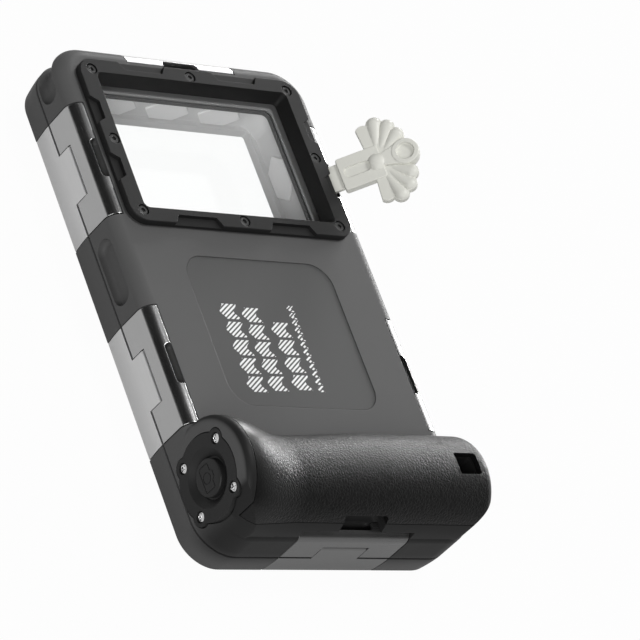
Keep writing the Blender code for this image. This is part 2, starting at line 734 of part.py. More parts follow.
def front_shell():
    rings = [case_ring(FRONT_TAPER + FRONT_CHAMFER, 0.0)]
    for i in range(TAPER_STEPS + 1):
        share = i / TAPER_STEPS
        height = FRONT_CHAMFER + (front_top - FRONT_CHAMFER) * share
        rings.append(case_ring(FRONT_TAPER * (1.0 - share) ** 1.5, height))
    shell = add_piece("front_shell", loft("front_shell", rings), LOOKS["shell"])
    aperture = (cavity_x - FRONT_LEDGE, cavity_y - FRONT_LEDGE)
    rebate = [half + FRONT_WINDOW_OVERLAP + GAP for half in aperture]
    window_corner = FRONT_WINDOW_CORNER + GAP
    carve(shell, "cavity", [cavity_prism(CAVITY_FLOOR, front_top + 5 * MM)])
    plan = rounded_rect(*aperture, FRONT_WINDOW_CORNER - FRONT_WINDOW_OVERLAP)
    carve(shell, "aperture", [prism("aperture", [plan], -1 * MM, CAVITY_FLOOR + 1 * MM)])
    carve(shell, "rebate", [prism("rebate", [rounded_rect(*rebate, window_corner)], -1 * MM, front_rebate)])
    groove_half = MAIN_SEAL_WIDTH / 2 + GAP
    ring = ring_loops(seal_x, seal_y, CAVITY_CORNER + MAIN_SEAL_OFFSET, groove_half)
    carve(shell, "seal_groove", [prism("groove", ring, seal_bottom - GAP, front_top + 1 * MM)])
    carve(shell, "latch_slots", at_latches(latch_slot))

    glass_half = [half + FRONT_WINDOW_OVERLAP for half in aperture]
    pane_plan = rounded_rect(*glass_half, FRONT_WINDOW_CORNER)
    pane = prism("front_window", [pane_plan], 0.0, FRONT_WINDOW_THICKNESS)
    add_piece("front_window", pane, LOOKS["glass"])
    seal_low = FRONT_WINDOW_THICKNESS + GAP
    inner = rounded_rect(*[half + GAP for half in aperture], FRONT_WINDOW_CORNER - FRONT_WINDOW_OVERLAP)
    loops = [pane_plan, inner]
    seal = prism("front_window_seal", loops, seal_low, seal_low + FRONT_SEAL_THICKNESS)
    add_piece("front_window_seal", seal, LOOKS["rubber"])


def cavity_prism(low, high):
    return prism("cavity", [rounded_rect(cavity_x, cavity_y, CAVITY_CORNER)], low, high)


def ring_loops(half_x, half_y, corner, half_wide):
    outer = rounded_rect(half_x + half_wide, half_y + half_wide, corner + half_wide)
    inner = rounded_rect(half_x - half_wide, half_y - half_wide, corner - half_wide)
    return [outer, inner]


def latch_slot(length):
    # Section of the slot in the front shell: relief for the lever at the top, the wall that the hook plate
    # lies against, the ledge, and the space under it for the hook's lip.
    ledge_low = HOOK_LIP_HEIGHT + 2 * GAP
    relief_low = front_top - LEVER_RELIEF
    deep = -HINGE_INSET - LEVER_RELIEF_BEYOND_HINGE
    shallow = -HOOK_THICKNESS - GAP
    lip_deep = -HOOK_LIP_REACH - GAP
    outline = [
        (2 * MM, -1 * MM),
        (2 * MM, front_top + 1 * MM),
        (deep, front_top + 1 * MM),
        (deep, relief_low),
        (shallow, relief_low),
        (shallow, ledge_low),
        (lip_deep, ledge_low),
        (lip_deep, -1 * MM),
    ]
    half = length / 2 + GAP
    return prism("latch_slot", [outline], -half, half, "XZ")


def main_seal():
    loops = ring_loops(seal_x, seal_y, CAVITY_CORNER + MAIN_SEAL_OFFSET, MAIN_SEAL_WIDTH / 2)
    ring = prism("main_seal", loops, seal_bottom, seal_bottom + MAIN_SEAL_HEIGHT)
    add_piece("main_seal", ring, LOOKS["silicone"])


def cushion_liner():
    outer = (cavity_x - GAP, cavity_y - GAP)
    inner = (outer[0] - LINER_WALL, outer[1] - LINER_WALL)
    low = CAVITY_FLOOR + GAP
    corner = CAVITY_CORNER - GAP
    loops = [rounded_rect(*outer, corner), rounded_rect(*inner, corner - LINER_WALL)]
    liner = add_piece("cushion_liner", prism("liner", loops, low, liner_top), LOOKS["liner"])
    middle = (low + liner_top) / 2
    slope = PAD_HEIGHT / 2
    half = PAD_LENGTH / 2
    sink = LINER_WALL / 2
    pads = []

    def hexagon(at):
        return [
            (at - half, middle),
            (at - half + slope, middle - slope),
            (at + half - slope, middle - slope),
            (at + half, middle),
            (at + half - slope, middle + slope),
            (at - half + slope, middle + slope),
        ]

    for i in range(-2, 3):
        for side in (-1, 1):
            ends = sorted((side * (inner[0] - PAD_PROUD), side * (inner[0] + sink)))
            pads.append(prism("pad", [hexagon(i * PAD_PITCH)], *ends, "YZ"))
    for i in range(-1, 2):
        for side in (-1, 1):
            ends = sorted((side * (inner[1] - PAD_PROUD), side * (inner[1] + sink)))
            pads.append(prism("pad", [hexagon(i * (PAD_LENGTH + 4 * MM))], *ends, "XZ"))
    carve(liner, "pads", pads, "UNION")
    # The side button's stem passes through a notch in the top edge.
    start = inner[0] - PAD_PROUD - 1 * MM
    carve(liner, "stem_notch", [side_round("stem_notch", SIDE_STEM_RADIUS + GAP, start, cavity_x)])


# Rear shell with its recesses, and the grip core that is moulded with it


def rear_shell():
    rings = [case_ring(0.0, rear_bottom)]
    for i in range(CORNER_STEPS + 1):
        turn = math.radians(90.0 * i / CORNER_STEPS)
        inset = BACK_ROUND_IN * (1.0 - math.cos(turn))
        rings.append(case_ring(inset, side_top + BACK_ROUND_DOWN * math.sin(turn)))
    shell = add_piece("rear_shell", loft("rear_shell", rings), LOOKS["shell"])
    carve(shell, "grip", [outer_grip()], "UNION")

    low = front_top - 1 * MM
    zone = window_at - bezel_y
    main_half = (zone + cavity_y) / 2
    main_plan = rounded_rect(cavity_x, main_half, CAVITY_CORNER, (0.0, (zone - cavity_y) / 2))
    carve(shell, "cavity", [cavity_prism(low, window_ceiling)])
    deep = prism("deep", [main_plan], window_ceiling - 1 * MM, BACK_HEIGHT - BACK_WALL)
    carve(shell, "deep_cavity", [deep])
    bay_low = BACK_HEIGHT - BACK_WALL - 0.5 * MM
    bay = box("bay", (bay_left, bay_low_y, bay_low), (bay_right, bay_high_y, BAY_CEILING))
    carve(shell, "bay", [bay])

    centre = (0.0, window_at)
    opening = rounded_rect(window_x, window_y, WINDOW_CORNER, centre, SMALL_STEPS)
    ledge_top = window_ceiling + WINDOW_LEDGE
    carve(shell, "window", [prism("window", [opening], window_ceiling - 1 * MM, ledge_top + 1 * MM)])
    seat = rounded_rect(glass_x + GAP, glass_y + GAP, WINDOW_CORNER + GAP, centre, SMALL_STEPS)
    carve(shell, "glass_seat", [prism("seat", [seat], ledge_top, BACK_HEIGHT + 1 * MM)])

    carve(shell, "latch_recesses", at_latches(latch_recess))
    carve(shell, "hinge_holes", at_latches(hinge_hole))
    carve(shell, "pill_grooves", at_latches(pill_groove))
    corner_half = CORNER_RADIUS * math.pi / 4 + CORNER_GROOVE_STRAIGHT
    hollows = [groove(side_path, side_groove_half)]
    hollows += [groove(corner_path(side), corner_half) for side in (-1, 1)]
    label = rounded_rect(LABEL_WIDTH / 2, LABEL_LENGTH / 2, LABEL_CORNER, (0.0, label_at))
    hollows.append(prism("label", [label], BACK_HEIGHT - LABEL_DEPTH, BACK_HEIGHT + 1 * MM))
    hollows.append(side_button_pocket())
    hollows.append(plate_prism("plate_seat", GAP, -1 * MM, PLATE_THICKNESS + GAP))
    carve(shell, "hollows", hollows)

    bores = [side_stem_hole(), housing_bore()]
    screw_low = bezel_bottom + COUNTERBORE_LEDGE - BEZEL_SCREW_LENGTH
    tap_radius = BEZEL_SCREW_SHANK + GAP
    for x, y in bezel_screw_places():
        bores.append(cylinder("tap", tap_radius, screw_low, BACK_HEIGHT + 1 * MM, "Z", (x, y, 0.0)))
    for y, z in plate_screw_places():
        bores.append(plate_tap(y, z))
    carve(shell, "bores", bores)
    carve(shell, "seal_seats", [stem_seal_seat(), side_seal_seat()])
    carve(shell, "button_stem_hole", [button_stem_hole()])

    cover_space = finished_mesh(
        "cover_space",
        cover_region(0.0, -half_width + COVER_FROM_LEFT - GAP),
        [("core", inner_grip(COVER_THICKNESS + GAP), "DIFFERENCE")],
    )
    carve(shell, "cover_space", [cover_space])
    carve(shell, "strap_slot", [strap_slot()])
    carve(shell, "strap_bar_hole", [strap_bar(GAP)])
    carve(shell, "key_slot", [key_slot()])


def latch_recess(length):
    half = length / 2 + GAP
    return box(
        "latch_recess", (-LATCH_RECESS_DEPTH, -half, front_top - 1 * MM), (MM, half, BACK_HEIGHT + LATCH_RECESS_ABOVE_BACK)
    )


def hinge_hole(length):
    half = length / 2 + GAP + PIN_SEAT + GAP
    return cylinder("hinge_hole", PIN_HOLE_RADIUS, -half, half, "Y", (-HINGE_INSET, 0.0, HINGE_HEIGHT))


def pill_groove(length):
    half = min(PILL_HALF_LENGTH, length / 2)
    lie = Matrix.Translation((-LATCH_RECESS_DEPTH, 0.0, BACK_HEIGHT - PILL_BELOW_BACK)) @ AXES["Y"]
    return moved(capsule(half, PILL_RADIUS), lie)


# Camera window: gasket, glass, bezel and screws


def camera_window():
    centre = (0.0, window_at)
    edge = rounded_rect(glass_x, glass_y, WINDOW_CORNER, centre, SMALL_STEPS)
    opening = rounded_rect(window_x + GAP, window_y + GAP, WINDOW_CORNER, centre, SMALL_STEPS)
    gasket = prism("gasket", [edge, opening], gasket_bottom, gasket_bottom + GASKET_THICKNESS)
    add_piece("rear_window_gasket", gasket, LOOKS["gasket"])
    add_piece("rear_window_glass", prism("glass", [edge], glass_bottom, glass_top), LOOKS["glass"])

    outer = rounded_rect(bezel_x, bezel_y, BEZEL_CORNER, centre)
    top_plan = [size - BEZEL_EDGE_CHAMFER for size in (bezel_x, bezel_y, BEZEL_CORNER)]
    chamfered = rounded_rect(*top_plan, centre)
    plate = loft(
        "bezel",
        [
            at_height(outer, bezel_bottom),
            at_height(outer, bezel_top - BEZEL_EDGE_CHAMFER),
            at_height(chamfered, bezel_top),
        ],
    )
    bezel = add_piece("rear_window_bezel", plate, LOOKS["bezel"])
    skirt = prism("skirt", [edge], glass_top + GAP, bezel_bottom + 1 * MM)
    carve(bezel, "skirt", [skirt], "UNION")
    carve(bezel, "opening", [bezel_opening()])
    carve(bezel, "edge_pockets", bezel_pockets())
    seats = []
    holes = []
    ledge = bezel_bottom + COUNTERBORE_LEDGE
    seat_radius = BEZEL_SCREW_HEAD + GAP
    hole_radius = BEZEL_SCREW_SHANK + GAP
    for x, y in bezel_screw_places():
        place = (x, y, 0.0)
        seats.append(
            cylinder("seat", seat_radius, ledge, bezel_top + 1 * MM, "Z", place, SCREW_SIDES + 2)
        )
        holes.append(cylinder("hole", hole_radius, bezel_bottom - 1 * MM, ledge + 1 * MM, "Z", place))
    carve(bezel, "screw_seats", seats)
    carve(bezel, "screw_holes", holes)

    screw = bezel_screw_mesh()
    for number, (x, y) in enumerate(bezel_screw_places(), 1):
        add_piece(f"bezel_screw_{number}", screw, LOOKS["screw"], (x, y, ledge + GAP))


def bezel_opening():
    # Four sloping walls, wider at the top
    centre = (0.0, window_at)
    low = glass_top + GAP - 1 * MM
    high = bezel_top + 1 * MM
    rise = bezel_top - glass_top - GAP
    rings = []
    for height in (low, high):
        out = BEZEL_FLARE * (height - glass_top - GAP) / rise - BEZEL_SKIRT
        corner = WINDOW_CORNER + out / 2
        plan = rounded_rect(glass_x + out, glass_y + out, corner, centre, SMALL_STEPS)
        rings.append(at_height(plan, height))
    return loft("bezel_opening", rings)


def bezel_pockets():
    # Sloping-ended notches cut down from the top of the outer edge, two on each side
    floor = bezel_top - POCKET_DEPTH
    top = bezel_top + 1 * MM
    beyond = 1 * MM
    made = []
    for side in (-1, 1):
        for end in (-1, 1):
            at = side * POCKET_SPREAD_LONG
            edge = window_at + end * (bezel_y + beyond)
            inner = window_at + end * (bezel_y - POCKET_REACH)
            made.append(prism("pocket", [notch(at, POCKET_LONG_HALF, edge, inner, False)], floor, top))
            at = window_at + end * POCKET_SPREAD_SHORT
            edge = side * (bezel_x + beyond)
            inner = side * (bezel_x - POCKET_REACH)
            made.append(prism("pocket", [notch(at, POCKET_SHORT_HALF, edge, inner, True)], floor, top))
    return made


def notch(at, half, edge, inner, swapped):
    short = half - POCKET_SLOPE
    points = [(at - half, edge), (at + half, edge), (at + short, inner), (at - short, inner)]
    return [(b, a) for a, b in points] if swapped else points


def bezel_screw_places():
    corner_x = bezel_x - BEZEL_SCREW_CORNER_IN
    corner_y = bezel_y - BEZEL_SCREW_CORNER_DOWN
    mid_x = bezel_x - BEZEL_SCREW_MID_IN
    mid_y = bezel_y - BEZEL_SCREW_MID_DOWN
    places = [(-corner_x, corner_y), (0.0, mid_y), (corner_x, corner_y), (mid_x, 0.0)]
    places += [(corner_x, -corner_y), (0.0, -mid_y), (-corner_x, -corner_y), (-mid_x, 0.0)]
    return [(x, y + window_at) for x, y in places]


def bezel_screw_mesh():
    top = BEZEL_SCREW_HEAD_HEIGHT
    profile = [
        (0.0, top),
        (BEZEL_SCREW_HEAD, top),
        (BEZEL_SCREW_HEAD, 0.0),
        (BEZEL_SCREW_SHANK, 0.0),
        (BEZEL_SCREW_SHANK, -BEZEL_SCREW_LENGTH),
        (0.0, -BEZEL_SCREW_LENGTH),
    ]
    socket = cylinder("socket", BEZEL_SCREW_SOCKET, top / 2, top + 1 * MM, sides=6)
    body = turned("bezel_screw", profile, SCREW_SIDES)
    return finished_mesh("bezel_screw", body, [("socket", socket, "DIFFERENCE")])


# Latches: lever, hook plate and two pins


def lever_mesh(length):
    half = length / 2
    chamfer = 0.6 * MM
    bottom = HINGE_HEIGHT - LEVER_BARREL
    hinge = (-HINGE_INSET, HINGE_HEIGHT)
    inner_face = HINGE_INSET - LEVER_WALL
    leave = math.degrees(math.acos(inner_face / LEVER_BARREL))
    shoulder = (-BACK_ROUND_IN, side_top)
    outline = [(-chamfer, bottom), (0.0, bottom + chamfer)]
    outline += ellipse_arc(shoulder, BACK_ROUND_IN, BACK_ROUND_DOWN, 0.0, 90.0, CORNER_STEPS)
    inner_in = BACK_ROUND_IN - LEVER_WALL
    inner_down = BACK_ROUND_DOWN - LEVER_WALL
    outline += ellipse_arc(shoulder, inner_in, inner_down, 90.0, 0.0, SMALL_STEPS)
    outline += arc(hinge, LEVER_BARREL, leave, 270.0, 6)
    body = prism("lever", [outline, circle(hinge, PIN_HOLE_RADIUS)], -half, half, "XZ")

    far = LATCH_RECESS_DEPTH + 1 * MM
    tab_notch = box(
        "tab_notch", (-far, -LEVER_NOTCH_HALF, bottom - 1 * MM), (1 * MM, LEVER_NOTCH_HALF, LEVER_NOTCH_TOP)
    )
    finger_half = FINGER_NOTCH_LIP / 2 + 1 * MM
    finger_centre = (-FINGER_NOTCH_LIP - finger_half, 0.0)
    finger_plan = rounded_rect(finger_half, FINGER_NOTCH_HALF, FINGER_NOTCH_CORNER, finger_centre, 2)
    finger = prism("finger", [finger_plan], side_top, BACK_HEIGHT + 1 * MM)
    ears = []
    for side in (-1, 1):
        ends = sorted((side * LEVER_NOTCH_HALF, side * (LEVER_NOTCH_HALF + LEVER_EAR_WIDTH)))
        loops = [circle((-HINGE_INSET, link_height), LEVER_EAR_RADIUS, 10)]
        loops.append(circle((-HINGE_INSET, link_height), LINK_PIN_RADIUS + GAP / 2))
        ears.append(prism("ear", loops, *ends, "XZ"))
    steps = [("tab_notch", tab_notch, "DIFFERENCE"), ("finger", finger, "DIFFERENCE")]
    steps.append(("ears", merged("ears", ears), "UNION"))
    mesh = finished_mesh("lever", body, steps)
    mesh.transform(Matrix.Translation((HINGE_INSET, 0.0, -HINGE_HEIGHT)))
    return mesh


def hook_mesh(length):
    half = length / 2
    link = (-HINGE_INSET, link_height)
    inner = -HOOK_THICKNESS
    tab_inner = -LEVER_WALL
    bar_step = front_top - 0.3 * MM
    lip_low = GAP
    outline = [(inner - (HOOK_LIP_REACH - HOOK_THICKNESS), lip_low)]
    outline.append((-FRONT_TAPER - GAP, lip_low))
    for i in range(TAPER_STEPS + 1):
        share = i / TAPER_STEPS
        height = FRONT_CHAMFER + (front_top - FRONT_CHAMFER) * share
        outline.append((-FRONT_TAPER * (1.0 - share) ** 1.5, height))
    outline += arc(link, HOOK_TAB_ROUND, 0.0, 75.0, SMALL_STEPS)
    outline += arc(link, HOOK_TAB_BARREL, 105.0, 300.0, 5)
    outline.append((tab_inner, link_height - HOOK_TAB_BARREL - LEVER_BARREL / 4))
    outline.append((tab_inner, bar_step))
    outline.append((inner, bar_step))
    outline.append((inner, lip_low + HOOK_LIP_HEIGHT))
    outline.append((-HOOK_LIP_REACH, lip_low + HOOK_LIP_HEIGHT))
    body = prism("hook", [outline, circle(link, PIN_HOLE_RADIUS)], -half, half, "XZ")
    tab_half = LEVER_NOTCH_HALF - GAP
    sides = []
    above_tab = link_height + HOOK_THICKNESS + 1 * MM
    for side in (-1, 1):
        low, high = sorted((side * tab_half, side * (half + 1 * MM)))
        sides.append(box("side", (-HOOK_LIP_REACH, low, front_top), (1 * MM, high, above_tab)))
    mesh = finished_mesh("hook", body, [("sides", merged("sides", sides), "DIFFERENCE")])
    mesh.transform(Matrix.Translation((HINGE_INSET, 0.0, -link_height)))
    return mesh


def latches():
    shared = {}
    for length in sorted({SIDE_LATCH_LENGTH, END_LATCH_LENGTH}):
        hinge_half = length / 2 + GAP + PIN_SEAT
        link_half = LEVER_NOTCH_HALF + LEVER_EAR_WIDTH - LINK_PIN_SHORT
        shared[length] = (
            lever_mesh(length),
            hook_mesh(length),
            cylinder("hinge_pin", HINGE_PIN_RADIUS, -hinge_half, hinge_half, "Y"),
            cylinder("link_pin", LINK_PIN_RADIUS, -link_half, link_half, "Y"),
        )
    for name, place, turn, length in LATCHES:
        frame = bpy.data.objects.new("latch_" + name, None)
        frame.matrix_world = latch_matrix(place, turn)
        PARTS.objects.link(frame)
        lever, hook, hinge_pin, link_pin = shared[length]
        hinge = (-HINGE_INSET, 0.0, HINGE_HEIGHT)
        link = (-HINGE_INSET, 0.0, link_height)
        add_piece("lever_" + name, lever, LOOKS["lever"], hinge, frame)
        add_piece("hook_" + name, hook, LOOKS["hook"], link, frame)
        add_piece("hinge_pin_" + name, hinge_pin, LOOKS["steel"], hinge, frame)
        add_piece("link_pin_" + name, link_pin, LOOKS["steel"], link, frame)


# Shutter button in the boss. Local +Z of these shapes points out of the left face.


def on_left_face(mesh, y=boss_y, z=BOSS_AXIS_HEIGHT):
    return moved(mesh, Matrix.Translation((-half_width, y, z)) @ AXES["-X"])


def plate_screw_places():
    return [
        (boss_y + across * PLATE_SCREW_ACROSS, BOSS_AXIS_HEIGHT + up * plate_screw_up)
        for across in (-1, 1)
        for up in (-1, 1)
    ]


def plate_outline(grow):
    # A disc with a round lobe at each screw. The lobe's far side is where a ray from the centre leaves it.
    reach = math.hypot(PLATE_SCREW_ACROSS, plate_screw_up)
    lobe_at = math.atan2(plate_screw_up, PLATE_SCREW_ACROSS)
    lobe = PLATE_LOBE_RADIUS + grow
    points = []
    count = 56
    for i in range(count):
        angle = 2 * math.pi * i / count
        radius = plate_radius + grow
        for middle in (lobe_at, math.pi - lobe_at, math.pi + lobe_at, 2 * math.pi - lobe_at):
            off = reach * math.sin(angle - middle)
            if abs(off) < lobe and math.cos(angle - middle) > 0:
                radius = max(radius, reach * math.cos(angle - middle) + math.sqrt(lobe**2 - off**2))
        points.append((boss_y + radius * math.cos(angle), BOSS_AXIS_HEIGHT + radius * math.sin(angle)))
    return points


def plate_prism(name, grow, start, end):
    return prism(name, [plate_outline(grow)], -half_width + start, -half_width + end, "YZ")


def plate_tap(y, z):
    start = -half_width + PLATE_THICKNESS
    end = -half_width + PLATE_SCREW_LENGTH + PLATE_SCREW_HEAD_HEIGHT + PLATE_SCREW_SINK + GAP
    return cylinder("plate_tap", PLATE_SCREW_SHANK + GAP, start, end, "X", (0.0, y, z))


def housing_bore():
    start = -half_width + PLATE_THICKNESS
    end = -half_width + housing_floor
    return cylinder("housing", HOUSING_BORE, start, end, "X", (0.0, boss_y, BOSS_AXIS_HEIGHT), ROUND_SIDES)


def stem_seal_seat():
    start = -half_width + housing_floor - 1 * MM
    end = -half_width + housing_floor + STEM_SEAL_HEIGHT + 2 * GAP
    return cylinder("seat", STEM_SEAL_RADIUS + GAP, start, end, "X", (0.0, boss_y, BOSS_AXIS_HEIGHT), 24)


def button_stem_hole():
    start = -half_width + housing_floor
    end = bay_left + 1 * MM
    radius = BUTTON_STEM_RADIUS + GAP
    return cylinder("stem_hole", radius, start, end, "X", (0.0, boss_y, BOSS_AXIS_HEIGHT), 20)


def shutter_control():
    plate = add_piece("button_plate", plate_prism("plate", 0.0, 0.0, PLATE_THICKNESS), LOOKS["plate"])
    slope = (PLATE_HOLE_OUTER - PLATE_HOLE_INNER) / PLATE_THICKNESS
    over = 1 * MM
    hole_profile = [
        (0.0, over),
        (PLATE_HOLE_OUTER + slope * over, over),
        (PLATE_HOLE_INNER - slope * over, -PLATE_THICKNESS - over),
        (0.0, -PLATE_THICKNESS - over),
    ]
    carve(plate, "button_hole", [on_left_face(turned("hole", hole_profile))])
    seats = []
    holes = []
    floor = PLATE_SCREW_SINK + PLATE_SCREW_HEAD_HEIGHT + GAP
    for y, z in plate_screw_places():
        seat = cylinder("seat", PLATE_SCREW_HEAD + GAP, -floor, over, sides=SCREW_SIDES + 2)
        seats.append(on_left_face(seat, y, z))
        hole = cylinder("hole", PLATE_SCREW_SHANK + GAP, -PLATE_THICKNESS - over, over - floor)
        holes.append(on_left_face(hole, y, z))
    carve(plate, "screw_seats", seats)
    carve(plate, "screw_holes", holes)
    screw = plate_screw_mesh()
    for number, (y, z) in enumerate(plate_screw_places(), 1):
        under_head = -half_width + PLATE_SCREW_SINK + PLATE_SCREW_HEAD_HEIGHT
        piece = add_piece(f"plate_screw_{number}", screw, LOOKS["bright"], (under_head, y, z))
        piece.rotation_euler = (0.0, math.radians(-90.0), 0.0)

    stem_end = switch_left + half_width - BUTTON_TRAVEL - GAP
    profile = [
        (0.0, -CAP_TOP),
        (CAP_RADIUS * 0.7, -CAP_TOP - 0.05 * MM),
        (CAP_RADIUS * 0.92, -CAP_TOP - 0.3 * MM),
        (CAP_RADIUS, -CAP_TOP - 0.9 * MM),
        (CAP_RADIUS, -flange_top),
        (FLANGE_RADIUS, -flange_top),
        (FLANGE_RADIUS, -flange_bottom),
        (BUTTON_STEM_RADIUS, -flange_bottom),
        (BUTTON_STEM_RADIUS, -stem_end),
        (0.0, -stem_end),
    ]
    face = (-half_width, boss_y, BOSS_AXIS_HEIGHT)
    button = add_piece("shutter_button", turned("shutter_button", profile), LOOKS["button"], face)
    button.rotation_euler = (0.0, math.radians(-90.0), 0.0)

    seal_high = -housing_floor - GAP
    seal_bore = BUTTON_STEM_RADIUS + GAP
    ring = [
        (seal_bore, seal_high),
        (STEM_SEAL_RADIUS, seal_high),
        (STEM_SEAL_RADIUS, seal_high - STEM_SEAL_HEIGHT),
        (seal_bore, seal_high - STEM_SEAL_HEIGHT),
    ]
    add_piece("button_seal", on_left_face(turned("button_seal", ring, 24, True)), LOOKS["rubber"])
    return_spring()


def return_spring():
    # A round wire coil between the button's flange and the floor of its housing
    wire = SPRING_WIRE / 2
    start = flange_bottom + GAP + wire
    end = housing_floor - GAP - wire
    per_turn = 10
    count = SPRING_TURNS * per_turn
    curve = bpy.data.curves.new("button_spring", "CURVE")
    curve.dimensions = "3D"
    curve.bevel_depth = wire
    curve.bevel_resolution = 1
    curve.use_fill_caps = True
    spline = curve.splines.new("POLY")
    spline.points.add(count)
    for i, point in enumerate(spline.points):
        angle = 2 * math.pi * i / per_turn
        depth = start + (end - start) * i / count
        y = boss_y + SPRING_RADIUS * math.cos(angle)
        z = BOSS_AXIS_HEIGHT + SPRING_RADIUS * math.sin(angle)
        point.co = (-half_width + depth, y, z, 1.0)
    add_piece("button_spring", curve, LOOKS["steel"])


def plate_screw_mesh():
    head = PLATE_SCREW_HEAD
    top = PLATE_SCREW_HEAD_HEIGHT
    profile = [
        (0.0, top),
        (head * 0.8, top - 0.1 * MM),
        (head, top - 0.5 * MM),
        (head, 0.0),
        (PLATE_SCREW_SHANK, 0.0),
        (PLATE_SCREW_SHANK, -PLATE_SCREW_LENGTH),
        (0.0, -PLATE_SCREW_LENGTH),
    ]
    arm = PLATE_SCREW_CROSS_LENGTH / 2
    thin = PLATE_SCREW_CROSS_WIDTH / 2
    floor = top - PLATE_SCREW_CROSS_DEPTH
    over = top + 1 * MM
    # The second arm is a hair shallower, so that the two floors don't coincide.
    slots = [
        ("slot_a", box("slot_a", (-arm, -thin, floor), (arm, thin, over)), "DIFFERENCE"),
        ("slot_b", box("slot_b", (-thin, -arm, floor + WELD * 20), (thin, arm, over)), "DIFFERENCE"),
    ]
    return finished_mesh("plate_screw", turned("plate_screw", profile, SCREW_SIDES), slots)


# Side button


def pill(half_long, half_high, low, high):
    outline = rounded_rect(half_long, half_high, half_high, (groove_at, GROOVE_HEIGHT))
    return prism("pill", [outline], low, high, "YZ")


def side_button_floor():
    return half_width + SIDE_BUTTON_PROUD - SIDE_BUTTON_BODY - SIDE_BUTTON_TRAVEL - GAP


def side_button_pocket():
    half = side_button_half + GAP
    return pill(half, SIDE_BUTTON_HALF_HEIGHT + GAP, side_button_floor(), half_width + 1 * MM)


def side_stem_hole():
    start = cavity_x - 1 * MM
    end = side_button_floor() + 1 * MM
    return side_round("stem_hole", SIDE_STEM_RADIUS + GAP, start, end)


def side_seal_seat():
    start = side_button_floor() - SIDE_SEAL_THICKNESS - 2 * GAP
    return side_round("seal_seat", SIDE_SEAL_RADIUS + GAP, start, side_button_floor() + 1 * MM)


def side_round(name, radius, start, end):
    return cylinder(name, radius, start, end, "X", (0.0, groove_at, GROOVE_HEIGHT), 16)


def side_control():
    outer = half_width + SIDE_BUTTON_PROUD
    inner = outer - SIDE_BUTTON_BODY
    crown = SIDE_BUTTON_CROWN
    half_long = side_button_half
    half_high = SIDE_BUTTON_HALF_HEIGHT
    rings = []
    for x, inset in ((inner, 0.0), (outer - crown, 0.0), (outer - crown * 0.3, 0.25 * MM), (outer, crown)):
        shape = rounded_rect(half_long - inset, half_high - inset, half_high - inset - 0.01 * MM)
        rings.append([(x - outer, a, b) for a, b in shape])
    start = cavity_x + SIDE_BUTTON_TRAVEL - SIDE_STEM_INSIDE - outer
    stem = cylinder("stem", SIDE_STEM_RADIUS, start, inner - outer + 1 * MM, "X", sides=16)
    place = (outer, groove_at, GROOVE_HEIGHT)
    button = add_piece("side_button", loft("side_button", rings), LOOKS["side"], place)
    carve(button, "stem", [stem], "UNION")

    seal_high = side_button_floor() - GAP
    seal_low = seal_high - SIDE_SEAL_THICKNESS
    seal_bore = SIDE_STEM_RADIUS + GAP
    ring = [(seal_bore, seal_high), (SIDE_SEAL_RADIUS, seal_high)]
    ring += [(SIDE_SEAL_RADIUS, seal_low), (seal_bore, seal_low)]
    seal = turned("side_button_seal", ring, 16, True)
    lie = Matrix.Translation((0.0, groove_at, GROOVE_HEIGHT)) @ AXES["X"]
    add_piece("side_button_seal", moved(seal, lie), LOOKS["rubber"])


# Grip cover, strap bar and electronics


def strap_bar(extra):
    half = STRAP_SLOT_LENGTH / 2 + STRAP_BAR_SEAT + extra
    centre = (strap_x, strap_y, grip_top - STRAP_BAR_BELOW)
    return cylinder("strap_bar", STRAP_BAR_RADIUS + extra, -half, half, "Y", centre, 16)


def grip():
    cover = add_piece("grip_cover", outer_grip(), LOOKS["leather"])
    carve(cover, "region", [cover_region(GAP, -half_width + COVER_FROM_LEFT)], "INTERSECT")
    carve(cover, "core", [inner_grip(COVER_THICKNESS)])
    carve(cover, "slots", [strap_slot(), key_slot()])
    add_piece("lanyard_pin", strap_bar(0.0), LOOKS["steel"])


def electronics():
    top = BAY_CEILING - GAP
    low_y = bay_low_y + BAY_CLEARANCE
    high_y = bay_high_y - BAY_CLEARANCE
    board_right = bay_left + BOARD_LENGTH
    board_low = top - BOARD_THICKNESS
    board = box("board", (switch_left, low_y, board_low), (board_right, high_y, top))
    add_piece("circuit_board", board, LOOKS["board"])
    cell_right = bay_right - BATTERY_FROM_END
    cell_left = cell_right - BATTERY_LENGTH
    cell = box("cell", (cell_left, low_y, top - BATTERY_HEIGHT), (cell_right, high_y, top))
    add_piece("battery_cell", cell, LOOKS["battery"])
    switch_top = board_low - GAP
    half = SWITCH_WIDTH / 2
    switch = box(
        "switch",
        (switch_left + SWITCH_TIP_PROUD, boss_y - half, switch_top - SWITCH_HEIGHT),
        (switch_left + SWITCH_LENGTH, boss_y + half, switch_top),
    )
    control = add_piece("control_switch", switch, LOOKS["battery"])
    tip_end = switch_left + SWITCH_TIP_PROUD + 1 * MM
    tip = cylinder(
        "tip", SWITCH_TIP_RADIUS, switch_left, tip_end, "X", (0.0, boss_y, BOSS_AXIS_HEIGHT)
    )
    carve(control, "plunger", [tip], "UNION")


# Opening key, in the finger notch of the right upper latch


